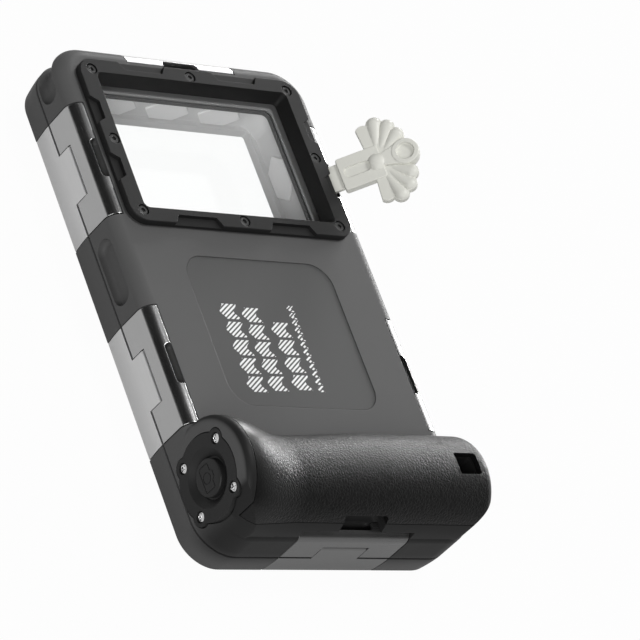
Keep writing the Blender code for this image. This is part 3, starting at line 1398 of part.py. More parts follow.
def petal(angle, reach):
    # A tapered half-round rib from the hub to a round tip
    start = KEY_PETAL_START
    stations = 6
    around = 6
    turn = Matrix.Rotation(math.radians(angle), 4, "Z")
    rings = []
    for i in range(stations + 1):
        share = math.sin(math.pi / 2 * i / stations)
        along = start + (reach - start) * share
        tip_from = reach - KEY_PETAL_HALF_WIDTH
        wide = 0.25 + 0.75 * min(1.0, (along - start) / (tip_from - start))
        over = max(0.0, along - tip_from) / KEY_PETAL_HALF_WIDTH
        wide *= max(0.12, math.sqrt(max(0.0, 1.0 - over * over)))
        ring = []
        for k in range(around):
            around_angle = 2 * math.pi * k / around
            across = KEY_PETAL_HALF_WIDTH * wide * math.cos(around_angle)
            up = KEY_PETAL_PROUD * wide * math.sin(around_angle)
            ring.append(turn @ Vector((along, across, up)))
        rings.append(ring)
    return loft("petal", rings)


def opening_key():
    half_blade = KEY_BLADE_WIDTH / 2
    half_shaft = KEY_SHAFT_WIDTH / 2
    half_thin = KEY_BLADE_THICKNESS / 2
    blade_end = KEY_BLADE_LENGTH + 2 * MM
    blade = rounded_rect(blade_end / 2, half_blade, 0.5 * MM, (blade_end / 2, 0.0), 2)
    body = prism("key", [blade], -half_thin, half_thin)
    shaft_half = (KEY_SHAFT_LENGTH - KEY_BLADE_LENGTH) / 2
    shaft_at = (KEY_SHAFT_LENGTH + KEY_BLADE_LENGTH) / 2
    shaft = rounded_rect(shaft_half, half_shaft, 0.8 * MM, (shaft_at, 0.0), 2)
    thick = KEY_SHAFT_THICKNESS / 2
    steps = [("shaft", prism("shaft", [shaft], -thick, thick), "UNION")]
    hub = Matrix.Translation((KEY_SHAFT_LENGTH, 0.0, 0.0))
    tips = []
    for angle, reach in zip(KEY_PETAL_ANGLES, KEY_PETAL_REACHES):
        tips.append((angle, reach))
        tips.append((-angle, reach))
    for number, (angle, reach) in enumerate(tips):
        steps.append((f"petal_{number}", moved(petal(angle, reach), hub), "UNION"))
    fan = [
        (
            KEY_SHAFT_LENGTH + KEY_FAN_REACH * reach * math.cos(math.radians(angle)),
            KEY_FAN_REACH * reach * math.sin(math.radians(angle)),
        )
        for angle, reach in sorted(tips)
    ]
    fan_thick = KEY_FAN_THICKNESS / 2
    steps.append(("fan", prism("fan", [fan], -fan_thick, fan_thick), "UNION"))
    ball = [(0.0, KEY_HUB_RADIUS)]
    ball += [(a, b) for b, a in arc((0.0, 0.0), KEY_HUB_RADIUS, 22.5, 157.5, 6)]
    ball += [(0.0, -KEY_HUB_RADIUS)]
    flat = Matrix.Scale(KEY_HUB_FLATNESS, 4, (0.0, 0.0, 1.0))
    steps.append(("hub", moved(turned("hub", ball, 16), hub @ flat), "UNION"))
    boss_high = KEY_RING_HEIGHT / 2
    ring_centre = (KEY_RING_AT, 0.0, 0.0)
    ring = cylinder("ring", KEY_RING_RADIUS, -boss_high, boss_high, "Z", ring_centre, 20)
    steps.append(("ring", ring, "UNION"))
    dish_low = boss_high - KEY_RING_DEPTH
    dish = cylinder("dish", KEY_RING_BORE, dish_low, boss_high + 1 * MM, "Z", ring_centre, 20)
    steps.append(("dish", dish, "DIFFERENCE"))
    label_centre = (KEY_BLADE_LENGTH + KEY_LABEL_FROM_BLADE + KEY_LABEL_LENGTH / 2, 0.0)
    pill_label = rounded_rect(KEY_LABEL_LENGTH / 2, KEY_LABEL_WIDTH / 2, KEY_LABEL_CORNER, label_centre, 4)
    label = prism("label", [pill_label], thick - KEY_LABEL_DEPTH, thick + 1 * MM)
    steps.append(("label", label, "DIFFERENCE"))
    mesh = finished_mesh("opening_key", body, steps, "MANIFOLD")
    tip_x = half_width - LATCH_RECESS_DEPTH + KEY_TIP_FROM_WALL
    tip = (tip_x, upper_latch_at - KEY_OFFSET_ALONG_LATCH, BACK_HEIGHT - KEY_TIP_BELOW_BACK)
    key = add_piece("opening_key", mesh, LOOKS["key"], tip)
    key.rotation_euler = (0.0, math.radians(-KEY_LEAN), 0.0)


for old in list(bpy.data.objects):
    bpy.data.objects.remove(old)

PARTS = new_collection("waterproof_phone_case")
CUTTERS = new_collection("cutters")
LOOKS = {
    "shell": material("shell_plastic", (0.105, 0.105, 0.107), 0.48),
    "bezel": material("bezel_plastic", (0.062, 0.062, 0.064), 0.42),
    "plate": material("button_plate_plastic", (0.035, 0.035, 0.036), 0.5),
    "button": material("button_rubber", (0.03, 0.03, 0.031), 0.55),
    "lever": material("latch_metal", (0.36, 0.36, 0.37), 0.34, 0.9),
    "hook": material("hook_metal", (0.45, 0.45, 0.46), 0.34, 0.9),
    "steel": material("pin_steel", (0.5, 0.5, 0.51), 0.3, 1.0),
    "bright": material("screw_stainless", (0.8, 0.8, 0.8), 0.25, 1.0),
    "screw": material("screw_black", (0.09, 0.09, 0.09), 0.4, 0.6),
    "leather": material("grip_rubber", (0.03, 0.03, 0.031), 0.5),
    "liner": material("liner_silicone", (0.42, 0.42, 0.43), 0.6),
    "gasket": material("gasket_silicone", (0.2, 0.2, 0.205), 0.6),
    "rubber": material("seal_rubber", (0.02, 0.02, 0.02), 0.7),
    "silicone": material("seal_silicone", (0.25, 0.05, 0.04), 0.6),
    "side": material("side_button_plastic", (0.2, 0.2, 0.205), 0.45),
    "glass": material("window_glass", (0.9, 0.93, 0.93), 0.05, 0.0, 0.25),
    "board": material("board_green", (0.02, 0.12, 0.05), 0.5),
    "battery": material("cell_grey", (0.3, 0.3, 0.32), 0.45, 0.2),
    "key": material("key_plastic", (0.78, 0.78, 0.72), 0.45),
}

front_shell()
main_seal()
cushion_liner()
rear_shell()
camera_window()
latches()
shutter_control()
side_control()
grip()
electronics()
opening_key()

for piece in PARTS.objects:
    switch_on(piece)
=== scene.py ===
import math

import bmesh
import bpy
import numpy as np
from mathutils import Matrix, Vector


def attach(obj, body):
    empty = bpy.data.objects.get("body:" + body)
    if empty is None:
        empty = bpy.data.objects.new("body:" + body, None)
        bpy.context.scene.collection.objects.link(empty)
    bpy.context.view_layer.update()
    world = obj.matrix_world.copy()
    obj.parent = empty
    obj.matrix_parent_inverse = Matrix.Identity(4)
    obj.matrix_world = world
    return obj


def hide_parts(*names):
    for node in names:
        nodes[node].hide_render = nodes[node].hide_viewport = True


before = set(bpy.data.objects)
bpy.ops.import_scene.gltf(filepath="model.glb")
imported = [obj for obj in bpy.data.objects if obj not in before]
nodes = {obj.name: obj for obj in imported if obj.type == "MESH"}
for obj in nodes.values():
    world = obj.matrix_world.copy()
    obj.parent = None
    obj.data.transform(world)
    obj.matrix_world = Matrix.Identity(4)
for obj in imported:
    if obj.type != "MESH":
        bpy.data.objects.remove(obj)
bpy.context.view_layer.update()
mm = 0.001  # shapes below are worked out in millimetres and scaled once, at the end
print("frame loaded:", len(nodes), "nodes")

case = {
    "halfX": 57.0, "halfY": 100.0, "corner": 14.0, "frontTop": 10.0,
    "sideTop": 20.5, "back": 25.0, "roundIn": 5.4, "roundDown": 4.5, "taper": 1.1, "chamfer": 0.5,
    "gap": 0.3, "seamLow": 9.88, "seamHigh": 10.58, "latchGap": 0.42, "rim": 0.25, "rimSoft": 0.07,
    "cavityX": 45.0, "cavityY": 88.5, "cavityCorner": 9.0, "cavityFloor": 3.8,
}
gap = case["gap"]
halfX, halfY = case["halfX"], case["halfY"]

# name, place on the outer face, turn about Z in degrees, length along the wall
latchTable = [
    ("left_upper", (-halfX, 50.8), 180.0, 46.4), ("left_lower", (-halfX, -33.3), 180.0, 46.4),
    ("right_upper", (halfX, 50.8), 0.0, 46.4), ("right_lower", (halfX, -33.3), 0.0, 46.4),
    ("top", (0.0, halfY), 90.0, 48.8), ("bottom", (0.0, -halfY), -90.0, 48.8),
]


# Outlines are arrays of (a, b) points, anticlockwise


def ellipseArc(centre, radiusA, radiusB, start, end, steps):
    # centre plus the two radii times the cosine and sine of evenly spaced angles
    t = np.radians(np.linspace(start, end, steps + 1))
    return np.column_stack([centre[0] + radiusA * np.cos(t), centre[1] + radiusB * np.sin(t)])


def circle(centre, radius, steps=32):
    # an arc all the way round, without its doubled last point
    return ellipseArc(centre, radius, radius, 0.0, 360.0, steps)[:-1]


def roundedRect(halfA, halfB, radius, centre=(0.0, 0.0), steps=12):
    # four quarter circles in turn, each about its own corner's centre
    corner = np.array([[1, 1], [-1, 1], [-1, -1], [1, -1]])
    t = np.radians(np.array([0, 90, 180, 270])[:, None] + np.linspace(0, 90, steps + 1))
    middle = corner * np.array([halfA - radius, halfB - radius]) + np.array(centre)
    return (middle[:, None] + radius * np.stack([np.cos(t), np.sin(t)], -1)).reshape(-1, 2)


def trimmed(outline):
    # the same outline without points that lie on their neighbour
    keep = np.linalg.norm(outline - np.roll(outline, 1, axis=0), axis=1) > 1e-4
    return outline[keep]


def insetOutline(outline, distance):
    # every point moves inwards along the mitre of its two edges, for an anticlockwise outline; at a sharp
    # corner the mitre is held short
    ahead = np.roll(outline, -1, axis=0) - outline
    ahead /= np.linalg.norm(ahead, axis=1)[:, None]
    behind = np.roll(ahead, 1, axis=0)
    left = np.column_stack([-ahead[:, 1], ahead[:, 0]]) + np.column_stack([-behind[:, 1], behind[:, 0]])
    square = (left ** 2).sum(axis=1)
    return outline + distance * left * (2.0 / np.maximum(square, 0.8))[:, None]


def filleted(corners, radii, steps=5):
    # a polygon whose corners are replaced by curves that touch both edges
    corners = np.asarray(corners, float)
    made = []
    for i, (point, radius) in enumerate(zip(corners, radii)):
        if not radius:
            made.append(point[None])
            continue
        back = corners[i - 1] - point
        ahead = corners[(i + 1) % len(corners)] - point
        back /= np.linalg.norm(back)
        ahead /= np.linalg.norm(ahead)
        half = math.acos(float(np.clip(back @ ahead, -1, 1))) / 2
        reach = radius / math.tan(half)
        share = np.linspace(0, 1, steps + 1)[:, None]
        start, end = point + back * reach, point + ahead * reach
        # a quadratic curve from one touching point to the other, pulled to the corner
        made.append((1 - share) ** 2 * start + 2 * share * (1 - share) * point + share ** 2 * end)
    return np.concatenate(made)


# Meshes


def makeMesh(name, points, faces):
    # a mesh from whole arrays of points and rows of corner numbers
    mesh = bpy.data.meshes.new(name)
    mesh.from_pydata(np.asarray(points, float).reshape(-1, 3).tolist(), [], faces)
    mesh.update()
    return mesh


def skinRings(name, rings, looped=False):
    # quads between neighbouring rings of equal length: flat ends, or the last ring joined to the first
    rings = np.asarray(rings, float)
    rows, columns = rings.shape[:2]
    here = np.arange(columns)
    beside = np.roll(here, -1)
    row = np.arange(rows if looped else rows - 1)[:, None]
    low, high = row * columns, (row + 1) % rows * columns
    quads = np.stack([low + here, low + beside, high + beside, high + here], -1).reshape(-1, 4).tolist()
    if not looped:
        quads.append(here[::-1].tolist())
        quads.append((here + (rows - 1) * columns).tolist())
    return makeMesh(name, rings, quads)


def raised(outline, height, plane="XY"):
    # puts an outline into space: its own axes are the plane's, and height is along the third
    a, b = outline[:, 0], outline[:, 1]
    h = np.full(len(outline), float(height))
    return np.column_stack({"XY": (a, b, h), "XZ": (a, h, b), "YZ": (h, a, b)}[plane])


def softPrism(name, outline, low, high, plane="XY", edge=0.0, topOnly=False, steps=3):
    # the outline drawn out from low to high, both rims or the upper one alone rounded by a quarter circle
    # of radius edge
    outline = trimmed(outline)
    if not edge:
        return skinRings(name, [raised(outline, low, plane), raised(outline, high, plane)])
    t = np.linspace(0, np.pi / 2, steps + 1)

    def drawnIn(a, height):
        return raised(insetOutline(outline, edge * (1 - math.cos(a))), height, plane)

    upper = [drawnIn(a, high - edge + edge * math.sin(a)) for a in t]
    lower = [drawnIn(a, low + edge - edge * math.sin(a)) for a in t[::-1]]
    return skinRings(name, ([raised(outline, low, plane)] if topOnly else lower) + upper)


def frameRing(name, outer, inner, low, high, plane="XY", edge=0.0):
    # a flat ring between two outlines of equal length: its section is carried round and closed
    loops = [(inner, low), (outer, low), (outer, high), (inner, high)]
    if edge:
        loops = [
            (insetOutline(inner, -edge), low), (insetOutline(outer, edge), low), (outer, low + edge),
            (outer, high - edge), (insetOutline(outer, edge), high), (insetOutline(inner, -edge), high),
            (inner, high - edge), (inner, low + edge),
        ]
    return skinRings(name, [raised(o, h, plane) for o, h in loops], looped=True)


def turnedShape(name, profile, steps=64):
    # a profile of (radius, height) carried round Z: x = r cos t, y = r sin t; it starts and ends on the axis
    profile = np.asarray(profile, float)
    t = np.linspace(0, 2 * np.pi, steps, endpoint=False)
    r = np.maximum(profile[:, :1], 1e-5)
    rings = np.stack([r * np.cos(t), r * np.sin(t), np.repeat(profile[:, 1:], steps, axis=1)], -1)
    return skinRings(name, rings)


def shift(*by):
    return Matrix.Translation(by)


def spin(degrees, axis="Z"):
    return Matrix.Rotation(math.radians(degrees), 4, axis)


def block(name, low, high):
    # a box: four corners at the low height, and the same four at the high one
    corner = np.array([[x, y, z] for z in (low[2], high[2]) for x, y in (
        (low[0], low[1]), (high[0], low[1]), (high[0], high[1]), (low[0], high[1]))])
    return skinRings(name, corner.reshape(2, 4, 3))


def moved(mesh, matrix):
    copy = mesh.copy()
    copy.transform(matrix)
    return copy


def rod(name, radius, low, high, axis="Z", centre=(0.0, 0.0, 0.0), steps=32):
    # a circle drawn out along Z, then turned to its axis and moved to its centre
    turn = {"X": spin(90, "Y"), "Y": spin(-90, "X"), "Z": Matrix()}
    return moved(softPrism(name, circle((0.0, 0.0), radius, steps), low, high), shift(*centre) @ turn[axis])


def joined(name, meshes):
    # several meshes in one, each as a shell of its own
    work = bmesh.new()
    for mesh in meshes:
        work.from_mesh(mesh)
    made = bpy.data.meshes.new(name)
    work.to_mesh(made)
    work.free()
    return made


def facingOut(mesh, merge=0.001):
    # doubles merged, slivers dissolved and every face turned outwards
    work = bmesh.new()
    work.from_mesh(mesh)
    bmesh.ops.remove_doubles(work, verts=work.verts, dist=merge)
    bmesh.ops.dissolve_degenerate(work, edges=work.edges, dist=merge)
    bmesh.ops.recalc_face_normals(work, faces=work.faces)
    work.to_mesh(mesh)
    work.free()
    return mesh


def placed(name, data):
    made = bpy.data.objects.new(name, data)
    bpy.context.scene.collection.objects.link(made)
    return made


def carved(mesh, steps):
    # each step is a mesh that is cut away, added or kept to, in turn; the result is a plain mesh
    operations = {"cut": "DIFFERENCE", "add": "UNION", "keep": "INTERSECT"}
    holder = placed("carving", facingOut(mesh))
    helpers = [holder]
    for other, kind in steps:
        helpers.append(placed("cutter", facingOut(other)))
        modifier = holder.modifiers.new("carve", "BOOLEAN")
        modifier.operation, modifier.object, modifier.solver = operations[kind], helpers[-1], "MANIFOLD"
    bpy.context.view_layer.update()
    graph = bpy.context.evaluated_depsgraph_get()
    result = bpy.data.meshes.new_from_object(holder.evaluated_get(graph))
    for helper in helpers:
        bpy.data.objects.remove(helper)
    return result


def addPiece(name, mesh, material, body, replaced=(), sharp=32.0, weighted=True):
    # into metres at the origin, faces outward, smooth except across sharp edges
    mesh = facingOut(mesh)
    mesh.transform(Matrix.Scale(mm, 4))
    mesh.name = name
    mesh.materials.clear()
    mesh.materials.append(material)
    mesh.shade_smooth()
    mesh.set_sharp_from_angle(angle=math.radians(sharp))
    piece = placed(name, mesh)
    if weighted:
        modifier = piece.modifiers.new("weighted", "WEIGHTED_NORMAL")
        modifier.keep_sharp = True
        modifier.weight = 100
    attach(piece, body)
    if replaced:
        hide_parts(*replaced)
    return piece


# Effects that several materials share


def node(tree, kind, values=None, **settings):
    made = tree.nodes.new("ShaderNode" + kind)
    for key, value in settings.items():
        setattr(made, key, value)
    for key, value in (values or {}).items():
        if isinstance(value, bpy.types.NodeSocket):
            tree.links.new(value, made.inputs[key])
        else:
            made.inputs[key].default_value = value
    return made


def math2(tree, operation, a, b=0.0, c=0.0, clamp=False):
    return node(tree, "Math", {0: a, 1: b, 2: c}, operation=operation, use_clamp=clamp).outputs[0]


def scaled(tree, vector, factor):
    return node(tree, "VectorMath", {0: vector, "Scale": factor}, operation="SCALE").outputs[0]


def mixColour(tree, share, first, second):
    return node(tree, "Mix", {0: share, 6: first, 7: second}, data_type="RGBA").outputs[2]


def noise(tree, place, scale, detail, roughness=0.5):
    made = node(tree, "TexNoise", {"Vector": place, "Scale": scale, "Detail": detail, "Roughness": roughness})
    return made.outputs["Fac"]


def objectPlace(tree):
    return node(tree, "TexCoord").outputs["Object"]


def objectAxes(tree):
    return node(tree, "SeparateXYZ", {"Vector": objectPlace(tree)}).outputs


def softNormal(tree, edge, strength, depth, height):
    # a bump of that height on a normal rounded at the edges by a bevel
    bevel = node(tree, "Bevel", {"Radius": math2(tree, "MULTIPLY", edge, mm)}, samples=6)
    return node(tree, "Bump", {"Strength": strength, "Distance": depth, "Height": height,
                               "Normal": bevel.outputs["Normal"]}).outputs["Normal"]


def openGroup(name, inputs):
    # an effect with named inputs, and what they give inside it
    group = bpy.data.node_groups.new(name, "ShaderNodeTree")
    for label, kind, value in inputs:
        socket = group.interface.new_socket(name=label, in_out="INPUT", socket_type="NodeSocket" + kind)
        socket.default_value = value
    return group, group.nodes.new("NodeGroupInput").outputs


def closeGroup(group, colour, roughness, normal):
    # the three outputs that every effect has
    for label, kind in (("Colour", "Color"), ("Roughness", "Float"), ("Normal", "Vector")):
        group.interface.new_socket(name=label, in_out="OUTPUT", socket_type="NodeSocket" + kind)
    out = group.nodes.new("NodeGroupOutput")
    for label, value in (("Colour", colour), ("Roughness", roughness), ("Normal", normal)):
        group.links.new(value, out.inputs[label])
    return group


def mouldedGroup():
    # fine pits of a moulded surface, a slow drift in tone and gloss, and softened edges
    group, given = openGroup("mouldedSurface", [
        ("Colour", "Color", (0.1, 0.1, 0.1, 1.0)), ("Roughness", "Float", 0.45),
        ("Grain Size", "Float", 0.25), ("Grain Depth", "Float", 0.01), ("Drift", "Float", 0.06),
        ("Edge", "Float", 0.2)])
    place = objectPlace(group)
    grain = noise(group, place, math2(group, "DIVIDE", 1000.0, given["Grain Size"]), 3.0, 0.6)
    swing = math2(group, "SUBTRACT", noise(group, place, 38.0, 4.0, 0.55), 0.5)
    fleck = math2(group, "SUBTRACT", grain, 0.5)
    tone = math2(group, "MULTIPLY_ADD", math2(group, "ADD", swing, math2(group, "MULTIPLY", fleck, 0.5)),
                 math2(group, "MULTIPLY", given["Drift"], 2.0), 1.0)
    rough = math2(group, "MULTIPLY_ADD", swing, 0.16, given["Roughness"], clamp=True)
    normal = softNormal(group, given["Edge"], 1.0, math2(group, "MULTIPLY", given["Grain Depth"], mm), grain)
    return closeGroup(group, scaled(group, given["Colour"], tone), rough, normal)


def brushedGroup():
    # fine lines along the piece: noise read through a stretch that is long in one direction
    group, given = openGroup("brushedSurface", [
        ("Colour", "Color", (0.4, 0.4, 0.4, 1.0)), ("Roughness", "Float", 0.35),
        ("Stretch", "Vector", (4000.0, 40.0, 4000.0)), ("Contrast", "Float", 0.2), ("Edge", "Float", 0.2)])
    place = objectPlace(group)
    stretched = node(group, "VectorMath", {0: place, 1: given["Stretch"]}, operation="MULTIPLY").outputs[0]
    lines = noise(group, stretched, 1.0, 4.0, 0.65)
    swing = math2(group, "SUBTRACT", lines, 0.5)
    drift = math2(group, "SUBTRACT", noise(group, place, 45.0, 3.0), 0.5)
    both = math2(group, "MULTIPLY_ADD", drift, 0.5, swing)
    tone = math2(group, "MULTIPLY_ADD", both, given["Contrast"], 1.0)
    rough = math2(group, "MULTIPLY_ADD", both, 0.22, given["Roughness"], clamp=True)
    normal = softNormal(group, given["Edge"], 0.5, 0.004 * mm, lines)
    return closeGroup(group, scaled(group, given["Colour"], tone), rough, normal)


def leatherGroup():
    # pebbles between creases: distance to the edge of warped cells, at two sizes, plus fine pores
    group, given = openGroup("leatherSurface", [
        ("Colour", "Color", (0.03, 0.03, 0.03, 1.0)), ("Roughness", "Float", 0.5), ("Pebble", "Float", 1.1),
        ("Depth", "Float", 0.12)])
    place = objectPlace(group)
    warp = node(group, "TexNoise", {"Vector": place, "Scale": 420.0, "Detail": 2.0}).outputs["Color"]
    bent = node(group, "VectorMath", {0: place, 1: scaled(group, warp, 0.9 * mm)}, operation="ADD").outputs[0]
    scale = math2(group, "DIVIDE", 1000.0, given["Pebble"])

    def cells(size, gain, power):
        made = node(group, "TexVoronoi", {"Vector": bent, "Scale": size}, feature="DISTANCE_TO_EDGE")
        risen = math2(group, "MULTIPLY", made.outputs["Distance"], gain, clamp=True)
        return math2(group, "POWER", risen, power)

    crown = cells(scale, 3.2, 0.55)
    height = math2(group, "MULTIPLY_ADD", cells(math2(group, "MULTIPLY", scale, 2.3), 3.0, 0.6), 0.35, crown)
    height = math2(group, "MULTIPLY_ADD", noise(group, place, 6500.0, 2.0), 0.12, height)
    drift = math2(group, "SUBTRACT", noise(group, place, 60.0, 3.0), 0.5)
    tone = math2(group, "MULTIPLY_ADD", drift, 0.3, math2(group, "MULTIPLY_ADD", crown, 0.5, 0.6))
    rough = math2(group, "MULTIPLY_ADD", crown, -0.1, math2(group, "ADD", given["Roughness"], 0.08))
    bump = node(group, "Bump", {"Strength": 1.0, "Distance": math2(group, "MULTIPLY", given["Depth"], mm),
                                "Height": height})
    return closeGroup(group, scaled(group, given["Colour"], tone), rough, bump.outputs["Normal"])


groups = {"moulded": mouldedGroup(), "brushed": brushedGroup(), "leather": leatherGroup()}


def newMaterial(name):
    made = bpy.data.materials.new(name)
    made.use_nodes = True
    return made, made.node_tree, made.node_tree.nodes["Principled BSDF"]


def setInputs(made, values):
    for key, value in values.items():
        made.inputs[key].default_value = value


def mixShaders(tree, share, first, second):
    mix = node(tree, "MixShader", {0: share, 1: first.outputs[0], 2: second.outputs[0]})
    tree.links.new(mix.outputs[0], tree.nodes["Material Output"].inputs["Surface"])


def finish(name, group, inputs, shader=None):
    # a material whose colour, roughness and normal come from one of the shared effects
    made, tree, principled = newMaterial(name)
    effect = tree.nodes.new("ShaderNodeGroup")
    effect.node_tree = groups[group]
    setInputs(effect, inputs)
    for label, socket in (("Colour", "Base Color"), ("Roughness", "Roughness"), ("Normal", "Normal")):
        tree.links.new(effect.outputs[label], principled.inputs[socket])
    setInputs(principled, shader or {})
    made.diffuse_color = inputs["Colour"]
    return made


def grey(value, tint=(1.0, 1.0, 1.0)):
    # one tone in all three channels, each times its tint
    return tuple(value * t for t in tint) + (1.0,)


# noise lines per metre across and along a piece
alongY = (5200.0, 55.0, 5200.0)
alongX = (55.0, 5200.0, 5200.0)


def plastic(name, tone, roughness, grain, depth, drift, edge, shine=0.25):
    colour = tone if isinstance(tone, tuple) else grey(tone)
    return finish(name, "moulded", {"Colour": colour, "Roughness": roughness, "Grain Size": grain,
                                    "Grain Depth": depth, "Drift": drift, "Edge": edge},
                  {"Specular IOR Level": shine})


def metal(name, tone, roughness, stretch, contrast, edge, share=0.85):
    return finish(name, "brushed", {"Colour": grey(tone), "Roughness": roughness, "Stretch": stretch,
                                    "Contrast": contrast, "Edge": edge}, {"Metallic": share})


shellTone = 0.104
looks = {
    "shell": plastic("shellPlastic", shellTone, 0.46, 0.28, 0.014, 0.05, 0.28, 0.12),
    "bezel": plastic("bezelPlastic", 0.017, 0.42, 0.25, 0.008, 0.06, 0.22, 0.12),
    "plate": plastic("platePlastic", 0.024, 0.48, 0.2, 0.01, 0.06, 0.15, 0.2),
    "button": plastic("buttonRubber", 0.022, 0.46, 0.3, 0.012, 0.08, 0.08),
    "lever": metal("leverMetal", 0.53, 0.22, alongY, 0.14, 0.25, 1.0),
    # the bottom latch: darker copies of the lever and hook metal, painted shade
    "leverBottom": metal("leverMetalPaintedShade", 0.17, 0.3, alongX, 0.16, 0.25),
    "hook": metal("hookMetal", 0.76, 0.36, alongY, 0.14, 0.2),
    "hookBottom": metal("hookMetalPaintedShade", 0.195, 0.36, alongX, 0.14, 0.2),
    # the top latch: lighter copies of the lever and hook metal, painted light
    "leverTop": metal("leverMetalPaintedLight", 0.85, 0.3, alongX, 0.12, 0.25),
    "hookTop": metal("hookMetalPaintedLight", 0.85, 0.36, alongX, 0.12, 0.2),
    "pin": metal("pinSteel", 0.5, 0.28, alongY, 0.12, 0.1, 1.0),
    "bright": metal("screwStainless", 0.85, 0.24, alongY, 0.1, 0.08, 1.0),
    "screw": metal("screwBlack", 0.018, 0.4, alongY, 0.2, 0.1, 0.0),
    "leather": finish("gripLeather", "leather", {"Colour": grey(0.008), "Roughness": 0.3, "Pebble": 1.25,
                                                 "Depth": 0.13}, {"Specular IOR Level": 0.22}),
    "liner": plastic("linerSilicone", 0.76, 0.55, 0.5, 0.01, 0.04, 0.3),
    # the pads are paler than the wall around them: painted light on their raised faces
    "pad": plastic("linerPadPaintedLight", 1.0, 0.5, 0.5, 0.008, 0.04, 0.3),
    "gasket": plastic("gasketSilicone", 0.2, 0.6, 0.4, 0.008, 0.05, 0.1),
    "rubber": plastic("sealRubber", 0.02, 0.6, 0.3, 0.01, 0.08, 0.2),
    "silicone": plastic("sealSilicone", (0.3, 0.05, 0.035, 1.0), 0.5, 0.4, 0.008, 0.06, 0.3),
    "side": plastic("sideButtonPlastic", 0.2, 0.42, 0.25, 0.01, 0.04, 0.15),
    "cell": finish("cellFoil", "brushed", {"Colour": grey(0.3, (0.97, 1.0, 1.05)), "Roughness": 0.4,
                                           "Contrast": 0.1}, {"Metallic": 0.4}),
    "key": plastic("keyPlastic", (0.8, 0.8, 0.74, 1.0), 0.42, 0.35, 0.01, 0.02, 0.25, 0.4),
}


def boardMaterial():
    # green solder mask in two shades, with copper tracks as the joints of a brick pattern
    mask = (0.015, 0.1, 0.04, 1.0)
    made = finish("boardGreen", "moulded",
                  {"Colour": mask, "Roughness": 0.35, "Grain Size": 0.6, "Grain Depth": 0.01})
    tree = made.node_tree
    tracks = node(tree, "TexBrick", {
        "Vector": objectPlace(tree), "Scale": 260.0, "Mortar Size": 0.06, "Color1": mask,
        "Color2": (0.02, 0.13, 0.05, 1.0), "Mortar": (0.3, 0.2, 0.05, 1.0)})
    tree.links.new(tracks.outputs["Color"], tree.nodes["Group"].inputs["Colour"])
    return made


def glassMaterial():
    # clear sheet; light reaches what lies behind it, because shadow and diffuse rays go straight through
    made, tree, shader = newMaterial("windowGlass")
    setInputs(shader, {"Base Color": (0.995, 1.0, 0.998, 1.0), "Transmission Weight": 1.0, "IOR": 1.2})
    smear = math2(tree, "SUBTRACT", noise(tree, objectPlace(tree), 90.0, 4.0), 0.55, clamp=True)
    tree.links.new(math2(tree, "MULTIPLY_ADD", smear, 0.12, 0.005), shader.inputs["Roughness"])
    rays = node(tree, "LightPath")
    through = math2(tree, "MAXIMUM", rays.outputs["Is Shadow Ray"], rays.outputs["Is Diffuse Ray"])
    mixShaders(tree, through, shader, node(tree, "BsdfTransparent"))
    return made


def ramp(tree, value, low, high):
    # from 0 at the first value to 1 at the second, both in millimetres
    made = node(tree, "MapRange", {"Value": value, "From Min": low * mm, "From Max": high * mm},
                interpolation_type="SMOOTHSTEP")
    return made.outputs["Result"]


# where each change begins and ends in millimetres: the grip's dark plastic in Z and X, the darkening of the
# lower end in Y and Z, and the leather's grain in X
shades = {"gripZ": (25.3, 27.5), "gripX": (-57.0, -56.2), "endY": (-84.0, -97.0), "endZ": (2.0, 14.0),
          "tone": 0.02, "grainX": (-53.0, -34.0), "grainLeast": 0.02, "grainMore": 0.07}


def shadeGrip():
    # the shell's own plastic turns near black on the grip, and the lower end face turns darker as it rises
    # towards it
    tree = looks["shell"].node_tree
    x, y, z = objectAxes(tree)
    onGrip = math2(tree, "MULTIPLY", ramp(tree, z, *shades["gripZ"]), ramp(tree, x, *shades["gripX"]))
    onEnd = math2(tree, "MULTIPLY", ramp(tree, y, *shades["endY"]), ramp(tree, z, *shades["endZ"]))
    colour = mixColour(tree, math2(tree, "MAXIMUM", onGrip, onEnd), grey(shellTone), grey(shades["tone"]))
    tree.links.new(colour, tree.nodes["Group"].inputs["Colour"])
    # the leather's grain grows from almost nothing beside the boss to its full depth along the grip
    tree = looks["leather"].node_tree
    grown = ramp(tree, objectAxes(tree)["X"], *shades["grainX"])
    depth = math2(tree, "MULTIPLY_ADD", grown, shades["grainMore"], shades["grainLeast"])
    tree.links.new(depth, tree.nodes["Group"].inputs["Depth"])


shadeGrip()
looks["board"] = boardMaterial()
looks["glass"] = glassMaterial()
print("materials made:", len(looks))


# Rear shell, with the boss and the core of the grip

grip = {
    "lowY": -99.4, "bossRadius": 20.9, "bossAxis": 25.2, "bossLength": 4.0, "bossRound": 3.0,
    "neckRadius": 18.5, "neckFromLeft": 29.0, "radius": 19.4, "axis": 22.2, "fullFromLeft": 72.0,
    "endRound": 4.5, "base": 12.0, "inset": 0.05, "fenceExtra": 0.4, "top": 41.6,
    "coverThickness": 2.4, "coverFromLeft": 4.0, "edgeRise": 4.9,
    "spans": 110, "around": 110,
}
bossY = grip["lowY"] + grip["bossRadius"]


def caseRing(inset, height, steps=20):
    # the case seen from above, at one height: a rounded rectangle that shrinks evenly by the inset
    return raised(roundedRect(halfX - inset, halfY - inset, case["corner"] - inset, steps=steps), height)


def eased(value, low, high):
    # a smooth step: three times the square less twice the cube of the share
    share = np.clip((value - low) / (high - low), 0.0, 1.0)
    return share * share * (3.0 - 2.0 * share)


